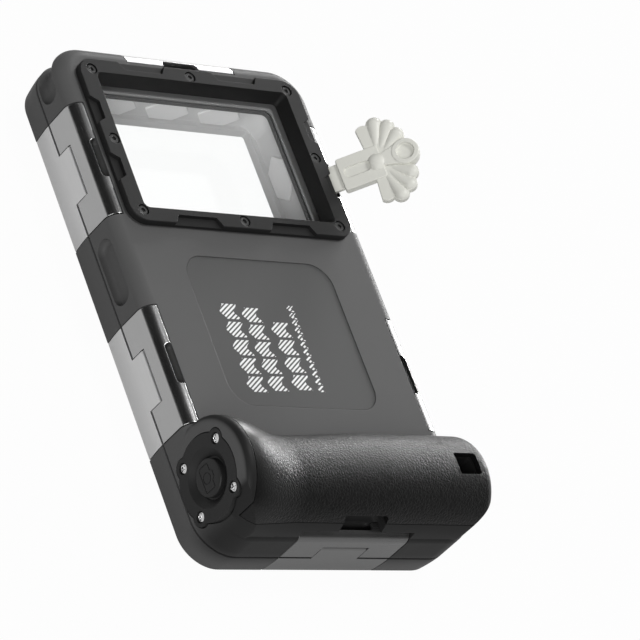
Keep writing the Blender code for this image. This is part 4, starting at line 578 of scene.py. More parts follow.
def gripSkin(shrink, left, right, roundLeft, roundRight):
    # round sections along X: radius and axis height ease from the boss to the neck and on to the full grip,
    # each end is rounded off in a quarter circle, and the sections are cut flat at the base
    quarter = np.linspace(0, np.pi / 2, 15)
    inner = np.linspace(left + roundLeft, right - roundRight, grip["spans"] + 1)[1:-1]
    start = left + roundLeft * (1 - np.cos(quarter)) if roundLeft else np.array([left])
    x = np.concatenate([start, inner, right - roundRight + roundRight * np.sin(quarter)])
    toNeck = eased(x, -halfX + grip["bossLength"], -halfX + grip["neckFromLeft"])
    toFull = eased(x, -halfX + grip["neckFromLeft"], -halfX + grip["fullFromLeft"])
    full = grip["bossRadius"] + (grip["neckRadius"] - grip["bossRadius"]) * toNeck
    full = full + (grip["radius"] - grip["neckRadius"]) * toFull
    axis = grip["bossAxis"] + (grip["axis"] - grip["bossAxis"]) * toNeck
    fromLeft = np.clip(roundLeft - (x - left), 0, roundLeft)
    fromRight = np.clip(roundRight - (right - x), 0, roundRight)
    radius = full - shrink - (roundLeft - np.sqrt(roundLeft ** 2 - fromLeft ** 2))
    radius = radius - (roundRight - np.sqrt(roundRight ** 2 - fromRight ** 2))
    begin = np.arcsin((grip["base"] - axis) / radius)
    t = begin[:, None] + (np.pi - 2 * begin)[:, None] * np.linspace(0, 1, grip["around"] + 1)
    y = (grip["lowY"] + full)[:, None] + radius[:, None] * np.cos(t)
    z = axis[:, None] + radius[:, None] * np.sin(t)
    body = skinRings("gripSkin", np.stack([np.broadcast_to(x[:, None], y.shape), y, z], -1))
    inset = shrink + grip["inset"]
    plan = roundedRect(halfX - inset, halfY - inset, case["corner"] + grip["fenceExtra"] - inset, steps=24)
    fence = softPrism("fence", plan, grip["base"] - 1, grip["top"] + 20)
    return carved(body, [(fence, "keep")])


def outerGrip():
    # the whole grip, flush with the case on both sides
    return gripSkin(0.0, grip["inset"] - halfX, halfX - grip["inset"], grip["bossRound"], grip["endRound"])


def innerGrip(shrink):
    # the core under the cover: every section and rim drawn in by the same distance
    left = grip["coverFromLeft"] - 3 - halfX
    return gripSkin(shrink, left, halfX - grip["inset"] - shrink, 0.0, grip["endRound"] - shrink)


def coverRegion(rise, left):
    # the space above a line that starts at the back face and climbs towards the lower end
    start = case["back"] + 0.1 + rise
    frontY = grip["lowY"] + 2 * grip["radius"]
    top = grip["top"] + 15
    outline = np.array([(-halfY - 2, start + grip["edgeRise"]), (frontY, start), (frontY + 10, start),
                        (frontY + 10, top), (-halfY - 2, top)])
    return softPrism("region", outline, left, halfX + 3, "YZ")


strap = {"x": 45.9, "halfX": 5.0, "halfY": 4.2, "depth": 9.0, "barRadius": 1.0, "barZ": 35.7, "barHalf": 5.9}
keySlot = {"halfX": 9.5, "low": 25.0, "high": 32.4, "depth": 8.0}


def strapSlot():
    # a rounded slot straight down into the grip's top
    plan = roundedRect(strap["halfX"], strap["halfY"], 0.8, (strap["x"], grip["lowY"] + grip["radius"]), 5)
    return softPrism("strapSlot", plan, grip["top"] - strap["depth"], grip["top"] + 5)


def keySlotCut():
    # a rounded slot along Y into the grip's lower end
    middle = (keySlot["low"] + keySlot["high"]) / 2
    face = roundedRect(keySlot["halfX"], (keySlot["high"] - keySlot["low"]) / 2, 1.2, (0.0, middle), 6)
    return softPrism("keySlot", face, -halfY - 1, keySlot["depth"] - halfY, "XZ")


latch = {
    "recess": 5.7, "floorTop": 26.0, "wall": 1.2, "edge": 0.18, "relief": 1.1, "reliefBeyond": 2.8,
    "hingeIn": 2.1, "hingeZ": 11.7, "linkZ": 15.2, "barrel": 1.25, "hole": 0.8, "pin": 0.6, "linkPin": 0.55,
    "pinSeat": 1.5, "notchHalf": 10.4, "notchTop": 17.4, "earWidth": 3.0, "earRadius": 1.3,
    "fingerHalf": 8.0, "fingerLip": 2.8, "fingerCorner": 1.6, "pillRadius": 1.3, "pillHalf": 8.0,
    "pillZ": 23.2, "hookThick": 2.5, "lipReach": 4.3, "lipHeight": 1.2, "tabBarrel": 1.35, "tabRound": 2.1,
}


def latchPlace(place, turn):
    # from the origin to a latch: X points out of the wall, and Y runs along it
    return shift(*place, 0.0) @ spin(turn)


def atLatches(make):
    # one cutter at every latch, all in one mesh
    return joined("cuts", [moved(make(length), latchPlace(place, turn))
                           for _, place, turn, length in latchTable])


def latchRecess(length):
    # a box open to the outside, a gap longer than the lever at each end
    half = length / 2 + case["latchGap"]
    return block("recess", (-latch["recess"], -half, case["frontTop"] - 1), (1.0, half, latch["floorTop"]))


def hingeHole(length):
    # a bore along the hinge that ends in the wall on both sides of the recess
    half = length / 2 + gap + latch["pinSeat"] + gap
    return rod("hingeHole", latch["hole"], -half, half, "Y", (-latch["hingeIn"], 0.0, latch["hingeZ"]), 20)


def pillGroove(length):
    # a rod with half-round ends, turned about its length and laid along the recess wall
    straight = min(latch["pillHalf"], length / 2) - latch["pillRadius"]
    cap = ellipseArc((0.0, straight), latch["pillRadius"], latch["pillRadius"], 90, 0, 8)
    foot = ellipseArc((0.0, -straight), latch["pillRadius"], latch["pillRadius"], 0, -90, 8)
    mesh = turnedShape("pill", np.concatenate([cap, foot]), 24)
    return moved(mesh, shift(-latch["recess"], 0.0, latch["pillZ"]) @ spin(-90, "X"))


groove = {"z": 16.0, "halfHeight": 4.3, "depth": 2.6, "sideY": 8.75, "sideHalf": 12.9, "cornerStraight": 6.0,
          "stations": 60, "across": 24}


def grooveCut(path, halfLong):
    # stations crowd towards both ends; the depth is a steep power curve of the distance from the middle line,
    # and the height shrinks like a half circle over the last stretch
    along = -halfLong * 0.998 * np.cos(np.linspace(0, np.pi, groove["stations"] + 1))
    over = np.clip(np.abs(along) - (halfLong - groove["halfHeight"]), 0, None) / groove["halfHeight"]
    share = np.sqrt(1 - over ** 2)[:, None]
    spot, out = path(along)
    side = np.concatenate([np.sin(np.linspace(-1, 1, groove["across"] + 1) * np.pi / 2), [1.0, -1.0]])[None]
    offset = np.clip(over[:, None] ** 2 + (share * side) ** 2, 0, 1)
    sink = groove["depth"] * (1 - offset ** 4) ** 0.5
    sink[:, -2:] = -1.0
    z = groove["z"] + groove["halfHeight"] * share * side
    xy = spot[:, None] - out[:, None] * sink[..., None]
    return skinRings("groove", np.concatenate([xy, z[..., None]], -1))


def sidePath(along):
    # points along the left wall, and the direction that points out of it
    n = len(along)
    return np.column_stack([np.full(n, -halfX), groove["sideY"] + along]), np.tile([-1.0, 0.0], (n, 1))


def cornerPath(side):
    # up the side wall, round the corner's quarter circle and along the top wall
    radius = case["corner"]
    quarter = radius * math.pi / 2

    def path(along):
        turn = along + quarter / 2
        angle = np.clip(turn / radius, 0, math.pi / 2)
        out = np.column_stack([side * np.cos(angle), np.sin(angle)])
        spot = np.array([side * (halfX - radius), halfY - radius]) + radius * out
        spot[:, 1] += np.minimum(turn, 0)
        spot[:, 0] -= side * np.maximum(turn - quarter, 0)
        return spot, out

    return path


window = {
    "y": 57.6, "halfX": 40.0, "halfY": 25.4, "corner": 2.4, "glassX": 43.7, "glassY": 29.1, "ceiling": 17.0,
    "ledgeTop": 18.6, "gasket": (18.9, 19.6), "glass": (19.9, 21.9),
}
windowAt = (0.0, window["y"])
label = {"halfX": 33.0, "halfY": 30.5, "corner": 9.0, "depth": 0.4, "y": -18.7}
plate = {
    "radius": 14.9, "thickness": 2.4, "lobe": 3.4, "across": 9.3, "up": 9.7, "holeOuter": 10.3,
    "holeInner": 7.3, "head": 1.75, "headHeight": 0.7, "shank": 0.9, "screwLength": 7.0, "sink": 0.2,
    "housing": 9.3, "housingFloor": 8.7, "stemHole": 2.2, "sealSeat": 3.2,
}
sideButton = {"y": 8.75, "z": 16.0, "halfLong": 15.4, "halfHigh": 3.9, "out": 59.8, "body": 5.2,
              "floor": 53.1, "crown": 0.8, "stem": 1.5, "stemEnd": 45.4, "sealSeat": 3.1}
bezel = {
    "halfX": 50.2, "halfY": 34.6, "corner": 7.0, "low": 25.3, "high": 27.8, "edge": 0.45, "skirtIn": 2.0,
    "flare": 1.6, "skirtLow": 22.2, "spreadLong": 21.2, "spreadShort": 12.1, "longHalf": 11.2,
    "shortHalf": 6.4, "slope": 2.8, "reach": 3.6, "depth": 1.3, "ledge": 0.6, "head": 1.9,
    "headHeight": 1.3, "shank": 0.95, "socket": 0.8, "screwLength": 7.0, "cornerX": 44.5, "cornerY": 29.9,
    "midX": 45.8, "midY": 31.2,
}


def bezelScrewPlaces():
    x, y, mx, my = bezel["cornerX"], bezel["cornerY"], bezel["midX"], bezel["midY"]
    places = [(-x, y), (0, my), (x, y), (mx, 0), (x, -y), (0, -my), (-x, -y), (-mx, 0)]
    return [(a, b + window["y"]) for a, b in places]


def rodsAt(places, name, radius, low, high, steps):
    return [rod(name, radius, low, high, "Z", (x, y, 0.0), steps) for x, y in places]


def plateScrewPlaces():
    return [(bossY + side * plate["across"], grip["bossAxis"] + end * plate["up"])
            for side in (-1, 1) for end in (-1, 1)]


def plateOutline(grow, steps=240):
    # a disc, pushed out at each screw to the far side of a round lobe
    reach = math.hypot(plate["across"], plate["up"])
    first = math.atan2(plate["up"], plate["across"])
    angle = np.linspace(0, 2 * np.pi, steps, endpoint=False)
    radius = np.full(steps, plate["radius"] + grow)
    for middle in (first, np.pi - first, np.pi + first, 2 * np.pi - first):
        off = reach * np.sin(angle - middle)
        side = np.cos(angle - middle)
        far = reach * side + np.sqrt(np.clip((plate["lobe"] + grow) ** 2 - off ** 2, 0, None))
        radius = np.where((np.abs(off) < plate["lobe"] + grow) & (side > 0), np.maximum(radius, far), radius)
    return np.column_stack([bossY + radius * np.cos(angle), grip["bossAxis"] + radius * np.sin(angle)])


# the space for the electronics in the grip, and the back wall's thickness below the window
bay = {"low": (-37, -88.5), "high": (46, -69.0, 29.5), "wall": 2.5}


def rearShellMesh():
    # the plan drawn up the wall and in along a quarter ellipse, the grip added and the hollows cut out
    low, back = case["seamHigh"], case["back"]
    quarter = np.linspace(0, np.pi / 2, 19)
    rim, rimSoft = case["rim"], case["rimSoft"]
    rings = [caseRing(rim, low), caseRing(rimSoft, low + rimSoft), caseRing(0.0, low + rim)]
    rings += [caseRing(case["roundIn"] * (1 - math.cos(t)), case["sideTop"] + case["roundDown"] * math.sin(t))
              for t in quarter]
    body = skinRings("rearShell", rings)
    inside = softPrism("cavity", roundedRect(case["cavityX"], case["cavityY"], case["cavityCorner"]), low - 2,
                       window["ceiling"])
    zone = window["y"] - bezel["halfY"]
    deepPlan = roundedRect(case["cavityX"], (zone + case["cavityY"]) / 2, case["cavityCorner"],
                           (0.0, (zone - case["cavityY"]) / 2))
    opening = roundedRect(window["halfX"], window["halfY"], window["corner"], windowAt, 6)
    seat = roundedRect(window["glassX"] + gap, window["glassY"] + gap, window["corner"] + gap, windowAt, 6)
    cuts = [
        inside,
        softPrism("deep", deepPlan, window["ceiling"] - 1, back - bay["wall"]),
        block("bay", (*bay["low"], back - 3), bay["high"]),
        softPrism("window", opening, window["ceiling"] - 1, window["ledgeTop"] + 1),
        softPrism("seat", seat, window["ledgeTop"], back + 1),
        atLatches(latchRecess), atLatches(hingeHole), atLatches(pillGroove),
    ]
    cornerHalf = case["corner"] * math.pi / 4 + groove["cornerStraight"]
    hollows = [grooveCut(sidePath, groove["sideHalf"])]
    hollows += [grooveCut(cornerPath(side), cornerHalf) for side in (-1, 1)]
    labelPlan = roundedRect(label["halfX"], label["halfY"], label["corner"], (0.0, label["y"]), 16)
    hollows.append(softPrism("label", labelPlan, back - label["depth"], back + 1))
    long, high = sideButton["halfLong"] + gap, sideButton["halfHigh"] + gap
    pocket = roundedRect(long, high, high, (sideButton["y"], sideButton["z"]), 14)
    hollows.append(softPrism("pocket", pocket, sideButton["floor"], halfX + 1, "YZ"))
    plateEnd, housingEnd = plate["thickness"] - halfX, plate["housingFloor"] - halfX
    hollows.append(softPrism("plateSeat", plateOutline(gap), -halfX - 1, plateEnd + gap, "YZ"))
    boss = (0.0, bossY, grip["bossAxis"])
    bores = [rod("housing", plate["housing"], plateEnd, housingEnd, "X", boss, 64)]
    bores += rodsAt(bezelScrewPlaces(), "tap", bezel["shank"] + gap,
                    bezel["low"] + bezel["ledge"] - bezel["screwLength"], back + 1, 16)
    tapEnd = plate["screwLength"] + plate["headHeight"] + plate["sink"] + gap - halfX
    bores += [rod("plateTap", plate["shank"] + gap, plateEnd - 0.5, tapEnd, "X", (0.0, y, z), 16)
              for y, z in plateScrewPlaces()]
    # the two buttons' stems pass through the wall, each with a wider seat for its seal
    side, sideEnd = (0.0, sideButton["y"], sideButton["z"]), sideButton["floor"]
    sealDepth = 1.0 + 2 * gap  # the seal's thickness and a gap on both sides
    stems = [rod("stemHole", plate["stemHole"], housingEnd - 0.5, bay["low"][0] + 1, "X", boss, 32),
             rod("stemHole", sideButton["stem"] + gap, case["cavityX"] - 1, sideEnd + 1, "X", side, 32)]
    seals = [rod("sealSeat", plate["sealSeat"], housingEnd - 1, housingEnd + sealDepth, "X", boss, 40),
             rod("sealSeat", sideButton["sealSeat"], sideEnd - sealDepth, sideEnd + 1, "X", side, 40)]
    coverSpace = carved(coverRegion(0.0, grip["coverFromLeft"] - gap - halfX),
                        [(innerGrip(grip["coverThickness"] + gap), "cut")])
    cuts += [joined("cuts", group) for group in (hollows, bores, stems, seals)]
    cuts += [coverSpace, strapSlot(), keySlotCut()]
    return carved(body, [(outerGrip(), "add")] + [(cut, "cut") for cut in cuts])


addPiece("rearShell", rearShellMesh(), looks["shell"], "root", ["rear_shell"])
print("rear shell made")


# Label panel: a satin field with rows of hatched waves

panelTone = 0.07
panelInset = 0.26
panelPlan = roundedRect(label["halfX"] - panelInset, label["halfY"] - panelInset,
                        label["corner"] - panelInset, (0.0, label["y"]), 16)
panelLow = case["back"] - label["depth"]
panelTop = panelLow + 0.12
looks["panel"] = plastic("labelPanelPlastic", panelTone, 0.5, 0.22, 0.008, 0.04, 0.05)
addPiece("labelPanel", softPrism("panel", panelPlan, panelLow + 0.01, panelTop, edge=0.08, topOnly=True),
         looks["panel"], "root")

# each row: x of its middle, half a wave's width, the swing, the period, y of the first wave, how many
waves = {"rows": ((-20.2, 3.1, 1.0, 7.4, -43.4, 5), (-10.6, 3.1, 1.0, 7.0, -42.6, 5),
                  (0.4, 3.2, 1.0, 7.2, -41.8, 4), (8.4, 1.0, 0.6, 3.0, -42.3, 12)),
         "fill": 0.84, "pitch": 1.55, "slope": 0.75, "height": 0.03, "stations": 25,
         "wearScale": 700.0, "wear": 0.2, "bare": 0.2, "rise": 7.0, "fall": 9.0}


def inkMaterial():
    # diagonal strokes: the fraction of (y - slope x) over the pitch, white above a threshold that a
    # noise wears
    made = plastic("hatchedInk", 0.8, 0.5, 0.3, 0.004, 0.02, 0.02)
    tree = made.node_tree
    axes = objectAxes(tree)
    along = math2(tree, "MULTIPLY_ADD", axes["X"], -waves["slope"], axes["Y"])
    share = math2(tree, "FRACT", math2(tree, "DIVIDE", along, waves["pitch"] * mm))
    worn = noise(tree, objectPlace(tree), waves["wearScale"], 3.0)
    start = math2(tree, "MULTIPLY_ADD", worn, waves["wear"], waves["bare"])
    rise = math2(tree, "MULTIPLY", math2(tree, "SUBTRACT", share, start), waves["rise"], clamp=True)
    fall = math2(tree, "MULTIPLY", math2(tree, "SUBTRACT", 1.0, share), waves["fall"], clamp=True)
    colour = mixColour(tree, math2(tree, "MULTIPLY", rise, fall), grey(panelTone), grey(0.95))
    tree.links.new(colour, tree.nodes["Group"].inputs["Colour"])
    return made


def waveRow(x, half, swing, period, start, count):
    # short strips in a row, each one wave long: the middle line is x + swing * cos(2 pi share)
    share = np.linspace(0, 1, waves["stations"])
    made = []
    for i in range(count):
        y = start + period * (i + waves["fill"] * share)
        middle = x + swing * np.cos(2 * np.pi * share)
        section = [np.column_stack([middle + side * half, y, np.full(len(y), panelTop + rise)])
                   for side, rise in ((-1, 0.002), (1, 0.002), (1, waves["height"]), (-1, waves["height"]))]
        made.append(skinRings("wave", np.stack(section, 1)))
    return joined("waveRow", made)


addPiece("wavePrint", joined("waves", [waveRow(*row) for row in waves["rows"]]), inkMaterial(), "root",
         weighted=False)
print("label made")


# Front shell, screen window and its seals

# a plan is half its width, half its height and its corner
screen = {
    "aperture": (42.3, 85.8, 4.9), "rebate": (44.7, 88.2, 7.3), "rebateHigh": 2.3,
    "pane": (44.4, 87.9, 7.0), "paneHigh": 1.1, "sealHole": (42.6, 86.1, 5.2), "sealHeights": (1.4, 2.0),
    "grooveOuter": (49.5, 93.0, 13.5),
    "grooveInner": (46.9, 90.4, 10.9), "grooveLow": 8.4, "bead": (48.2, 91.7, 12.2),
    "beadHeights": (8.7, 10.1), "beadHalf": 1.0,
}


def frontProfile(share):
    # the wall leans out by a power curve from the chamfer to the joint
    return case["taper"] * (1 - share) ** 1.5


def latchSlot(length):
    # a stepped section drawn along the wall: deep at the joint, shallow behind the hook plate and
    # deeper at the foot, where the lip catches
    shallow = -latch["hookThick"] - gap
    deep = -latch["hingeIn"] - latch["reliefBeyond"]
    lipDeep = -latch["lipReach"] - gap
    ledgeLow = latch["lipHeight"] + 2 * gap
    reliefLow = case["frontTop"] - latch["relief"]
    outline = np.array([(2, -1), (2, case["frontTop"] + 1), (deep, case["frontTop"] + 1), (deep, reliefLow),
                        (shallow, reliefLow), (shallow, ledgeLow), (lipDeep, ledgeLow), (lipDeep, -1)])
    half = length / 2 + case["latchGap"]
    return softPrism("latchSlot", outline, -half, half, "XZ")


def frontShellMesh():
    # the plan drawn up from the chamfer along the leaning wall, then the hollows cut out
    top, chamfer = case["seamLow"], case["chamfer"]
    rim, rimSoft = case["rim"], case["rimSoft"]
    rings = [caseRing(case["taper"] + chamfer, 0.0), caseRing(case["taper"] + 0.18, 0.12)]
    rings += [caseRing(frontProfile(s), chamfer + (top - rim - chamfer) * s) for s in np.linspace(0, 1, 9)]
    rings += [caseRing(rimSoft, top - rimSoft), caseRing(rim, top)]
    body = skinRings("frontShell", rings)
    cavity = softPrism("cavity", roundedRect(case["cavityX"], case["cavityY"], case["cavityCorner"]),
                       case["cavityFloor"], top + 5)
    aperture = softPrism("aperture", roundedRect(*screen["aperture"]), -1, case["cavityFloor"] + 1)
    rebate = softPrism("rebate", roundedRect(*screen["rebate"]), -1, screen["rebateHigh"])
    seal = frameRing("seal", roundedRect(*screen["grooveOuter"]), roundedRect(*screen["grooveInner"]),
                     screen["grooveLow"], top + 1)
    cuts = (cavity, aperture, rebate, seal, atLatches(latchSlot))
    return carved(body, [(cut, "cut") for cut in cuts])


addPiece("frontShell", frontShellMesh(), looks["shell"], "root", ["front_shell"])
panePlan = roundedRect(*screen["pane"])
addPiece("screenPane", softPrism("pane", panePlan, 0.0, screen["paneHigh"], edge=0.1), looks["glass"], "root",
         ["front_window"])
screenSeal = frameRing("seal", panePlan, roundedRect(*screen["sealHole"]), *screen["sealHeights"], edge=0.12)
addPiece("screenSeal", screenSeal, looks["rubber"], "root", ["front_window_seal"])


def roundRing(name, halfA, halfB, radius, low, high, halfWide, steps=12):
    # a bead: an ellipse section carried round a rounded rectangle
    t = np.linspace(0, 2 * np.pi, steps, endpoint=False)
    middle, half = (low + high) / 2, (high - low) / 2
    loops = [raised(roundedRect(halfA + halfWide * math.cos(a), halfB + halfWide * math.cos(a),
                                radius + halfWide * math.cos(a)), middle + half * math.sin(a)) for a in t]
    return skinRings(name, loops, looped=True)


addPiece("mainSeal", roundRing("bead", *screen["bead"], *screen["beadHeights"], screen["beadHalf"]),
         looks["silicone"], "root", ["main_seal"])
print("front shell made")


# Padded ring round the phone, with six-sided pads

liner = {"outerX": 44.7, "outerY": 88.2, "corner": 8.7, "wall": 1.6, "low": 4.1, "high": 16.0,
         "opening": (40.9, 84.4, 1.0), "lip": (42.15, 85.65, 4.75), "lipLow": 1.4, "flange": 0.8,
         "flangeInset": 0.4, "notch": (41.0, 45.5), "padHalf": 10.0, "padHigh": 9.6, "proud": 1.0,
         "pitch": 30.0, "endPitch": 24.0}


def hexPad(at, low, high, plane):
    # a six-sided outline with soft corners, drawn out from the wall
    half, slope = liner["padHalf"], liner["padHigh"] / 2
    middle = (liner["low"] + liner["high"]) / 2
    points = [(at + half, middle), (at + half - slope, middle + slope), (at - half + slope, middle + slope),
              (at - half, middle), (at - half + slope, middle - slope), (at + half - slope, middle - slope)]
    return softPrism("pad", filleted(points, [0.8] * 6), low, high, plane, edge=0.35)


def linerMesh():
    # a wall round the phone with a flange and a lip at the screen's edge, notched for the button's stem
    outer = roundedRect(liner["outerX"], liner["outerY"], liner["corner"])
    wall = liner["wall"]
    inner = roundedRect(liner["outerX"] - wall, liner["outerY"] - wall, liner["corner"] - wall)
    ring = frameRing("liner", outer, inner, liner["low"], liner["high"], edge=0.3)
    opening, inset = roundedRect(*liner["opening"]), liner["flangeInset"]
    lip = frameRing("lip", roundedRect(*liner["lip"]), opening, liner["lipLow"], liner["low"] + 0.5)
    flangePlan = roundedRect(liner["outerX"] - inset, liner["outerY"] - inset, liner["corner"])
    flange = frameRing("flange", flangePlan, opening, liner["low"], liner["low"] + liner["flange"])
    notch = rod("notch", sideButton["stem"] + gap, *liner["notch"], "X",
                (0, sideButton["y"], sideButton["z"]), 24)
    return carved(ring, [(flange, "add"), (lip, "add"), (notch, "cut")])


def padMesh():
    # pads at an even pitch, five on each long wall and three on each end wall
    innerX, innerY = liner["outerX"] - liner["wall"], liner["outerY"] - liner["wall"]
    walls = ((innerX, 2, liner["pitch"], "YZ"), (innerY, 1, liner["endPitch"], "XZ"))
    pads = []
    for side in (-1, 1):
        for inner, reach, pitch, plane in walls:
            low, high = sorted((side * (inner - liner["proud"]), side * (inner + 0.02)))
            pads += [hexPad(i * pitch, low, high, plane) for i in range(-reach, reach + 1)]
    return joined("pads", pads)


addPiece("phoneLiner", linerMesh(), looks["liner"], "root", ["cushion_liner"])
addPiece("linerPads", padMesh(), looks["pad"], "root")


# Camera window: gasket, glass, bezel and its screws

glassPlan = roundedRect(window["glassX"], window["glassY"], window["corner"], windowAt, 8)
gasketHole = roundedRect(window["halfX"] + gap, window["halfY"] + gap, window["corner"], windowAt, 8)
addPiece("windowGasket", frameRing("gasket", glassPlan, gasketHole, *window["gasket"], edge=0.12),
         looks["gasket"], "root", ["rear_window_gasket"])
addPiece("cameraPane", softPrism("pane", glassPlan, *window["glass"], edge=0.15), looks["glass"], "root",
         ["rear_window_glass"])


def bezelPocket(at, half, edge, inner, swapped):
    # a notch that narrows from the rim towards the opening
    short = half - bezel["slope"]
    points = [(at - half, edge), (at + half, edge), (at + short, inner), (at - short, inner)]
    points = np.array([(b, a) for a, b in points] if swapped else points, float)
    turned = np.sum(points[:, 0] * np.roll(points[:, 1], -1) - points[:, 1] * np.roll(points[:, 0], -1))
    if turned < 0:
        points = points[::-1]
    return softPrism("pocket", points, bezel["high"] - bezel["depth"], bezel["high"] + 1)


def bezelMesh():
    # a rounded plate with a skirt down to the glass, less a flared opening, rim pockets and screw holes
    outer = roundedRect(bezel["halfX"], bezel["halfY"], bezel["corner"], windowAt, 14)
    body = softPrism("bezel", outer, bezel["low"], bezel["high"], edge=bezel["edge"], topOnly=True, steps=5)
    skirt = softPrism("skirt", glassPlan, bezel["skirtLow"], bezel["low"] + 1)
    rise = bezel["high"] - bezel["skirtLow"]
    rings = []
    for height in (bezel["skirtLow"] - 1, bezel["high"] + 1):
        out = bezel["flare"] * (height - bezel["skirtLow"]) / rise - bezel["skirtIn"]
        plan = roundedRect(window["glassX"] + out, window["glassY"] + out, window["corner"] + out / 2,
                           windowAt, 8)
        rings.append(raised(plan, height))
    pockets = []
    for side in (-1, 1):
        for end in (-1, 1):
            y = window["y"] + end * bezel["halfY"]
            x = side * bezel["halfX"]
            pockets.append(bezelPocket(side * bezel["spreadLong"], bezel["longHalf"], y + end,
                                       y - end * bezel["reach"], False))
            pockets.append(bezelPocket(window["y"] + end * bezel["spreadShort"], bezel["shortHalf"], x + side,
                                       x - side * bezel["reach"], True))
    ledge = bezel["low"] + bezel["ledge"]
    seats = rodsAt(bezelScrewPlaces(), "seat", bezel["head"] + gap, ledge, bezel["high"] + 1, 32)
    holes = rodsAt(bezelScrewPlaces(), "hole", bezel["shank"] + gap, bezel["low"] - 1, ledge + 1, 20)
    cuts = [skinRings("opening", rings)] + [joined("cuts", group) for group in (pockets, seats, holes)]
    return carved(body, [(skirt, "add")] + [(cut, "cut") for cut in cuts])


addPiece("bezel", bezelMesh(), looks["bezel"], "root", ["rear_window_bezel"], sharp=28)


def bezelScrewMesh():
    # a round head and shank as one turned profile, less a six-sided socket
    top, head = bezel["headHeight"], bezel["head"]
    profile = [(0, top), (head - 0.22, top), (head - 0.06, top - 0.06), (head, top - 0.22), (head, 0.0),
               (bezel["shank"], 0.0), (bezel["shank"], -bezel["screwLength"]), (0, -bezel["screwLength"])]
    socket = softPrism("socket", circle((0, 0), bezel["socket"] * 1.15, 6), top / 2, top + 1)
    return carved(turnedShape("screw", profile, 40), [(socket, "cut")])


screwMesh = bezelScrewMesh()
for number, (x, y) in enumerate(bezelScrewPlaces(), 1):
    place = shift(x, y, bezel["low"] + bezel["ledge"] + gap)
    addPiece(f"bezelScrew{number}", moved(screwMesh, place), looks["screw"], "root",
             [f"bezel_screw_{number}"])
print("camera window made")


# Latches


def leverMesh(length):
    # a section drawn along the edge: the case's own curve outside, the same curve one wall further in,
    # and a barrel round the hinge pin
    half = length / 2
    hingeIn, hingeZ, barrel = latch["hingeIn"], latch["hingeZ"], latch["barrel"]
    bottom = hingeZ - barrel
    leave = math.degrees(math.acos((hingeIn - latch["wall"]) / barrel))  # where the barrel meets the wall
    shoulder = (-case["roundIn"], case["sideTop"])
    outer = ellipseArc(shoulder, case["roundIn"], case["roundDown"], 0, 90, 24)
    wall = latch["wall"]
    inner = ellipseArc(shoulder, case["roundIn"] - wall, case["roundDown"] - wall, 90, 0, 16)
    rounding = ellipseArc((-hingeIn, hingeZ), barrel, barrel, leave, 270, 16)
    foot = ellipseArc((-0.6, bottom + 0.6), 0.6, 0.6, -90, 0, 5)
    tip = [(0.12 - case["roundIn"], case["back"] - 0.02), (-case["roundIn"], case["back"] - 0.25)]
    outline = np.concatenate([foot, outer[:-1], tip, inner, rounding])
    body = softPrism("lever", outline, -half, half, "XZ", edge=latch["edge"])
    notchHalf = latch["notchHalf"]
    tab = block("tab", (-latch["recess"] - 1, -notchHalf, bottom - 1), (1, notchHalf, latch["notchTop"]))
    reach = latch["fingerLip"] / 2 + 1
    fingerAt = (-latch["fingerLip"] - reach, 0.0)
    plan = roundedRect(reach, latch["fingerHalf"], latch["fingerCorner"], fingerAt, 6)
    finger = softPrism("finger", plan, case["sideTop"], case["back"] + 1)
    bore = rod("bore", latch["hole"], -half - 1, half + 1, "Y", (-hingeIn, 0, hingeZ), 20)
    ears, bores, link = [], [], (-hingeIn, 0, latch["linkZ"])
    for side in (-1, 1):
        low, high = sorted((side * notchHalf, side * (notchHalf + latch["earWidth"])))
        ears.append(rod("ear", latch["earRadius"], low, high, "Y", link, 28))
        bores.append(rod("earBore", latch["linkPin"] + gap / 2, low - 1, high + 1, "Y", link, 16))
    return carved(body, [(tab, "cut"), (finger, "cut"), (bore, "cut"),
                         (joined("ears", ears), "add"), (joined("bores", bores), "cut")])


def hookMesh(length):
    # a section drawn along the edge: the front shell's lean outside, a lip at the foot and a barrel round
    # the link pin
    half = length / 2
    link = (-latch["hingeIn"], latch["linkZ"])
    inner, lip, lipLow, lipHigh = -latch["hookThick"], -latch["lipReach"], gap, gap + latch["lipHeight"]
    step = case["frontTop"] - gap
    share = np.linspace(0, 1, 9)
    rise = case["chamfer"] + (case["frontTop"] - case["chamfer"]) * share
    front = np.column_stack([-frontProfile(share), rise])
    outline = np.concatenate([
        [(lip, lipLow), (-case["taper"] - gap, lipLow)], front,
        ellipseArc(link, latch["tabRound"], latch["tabRound"], 0, 75, 10),
        ellipseArc(link, latch["tabBarrel"], latch["tabBarrel"], 105, 300, 20),
        [(-latch["wall"], latch["linkZ"] - latch["tabBarrel"] - latch["barrel"] / 4), (-latch["wall"], step),
         (inner, step), (inner, lipHigh), (lip, lipHigh)],
    ])
    body = softPrism("hook", outline, -half, half, "XZ", edge=0.15)
    tabHalf = latch["notchHalf"] - gap
    sides = []
    for side in (-1, 1):
        low, high = sorted((side * tabHalf, side * (half + 1)))
        sides.append(block("side", (lip - 1, low, case["frontTop"]), (1, high, latch["linkZ"] + 4)))
    bore = rod("bore", latch["hole"], -half - 1, half + 1, "Y", (link[0], 0, link[1]), 20)
    return carved(body, [(joined("sides", sides), "cut"), (bore, "cut")])


def pinMesh(radius, half):
    # a cylinder with rounded rims, turned about Z and laid along Y
    soft = 0.12
    tip = ellipseArc((radius - soft, half - soft), soft, soft, 90, 0, 3)
    foot = ellipseArc((radius - soft, soft - half), soft, soft, 0, -90, 3)
    profile = np.concatenate([[(0, half)], tip, foot, [(0, -half)]])
    return moved(turnedShape("pin", profile, 24), spin(-90, "X"))


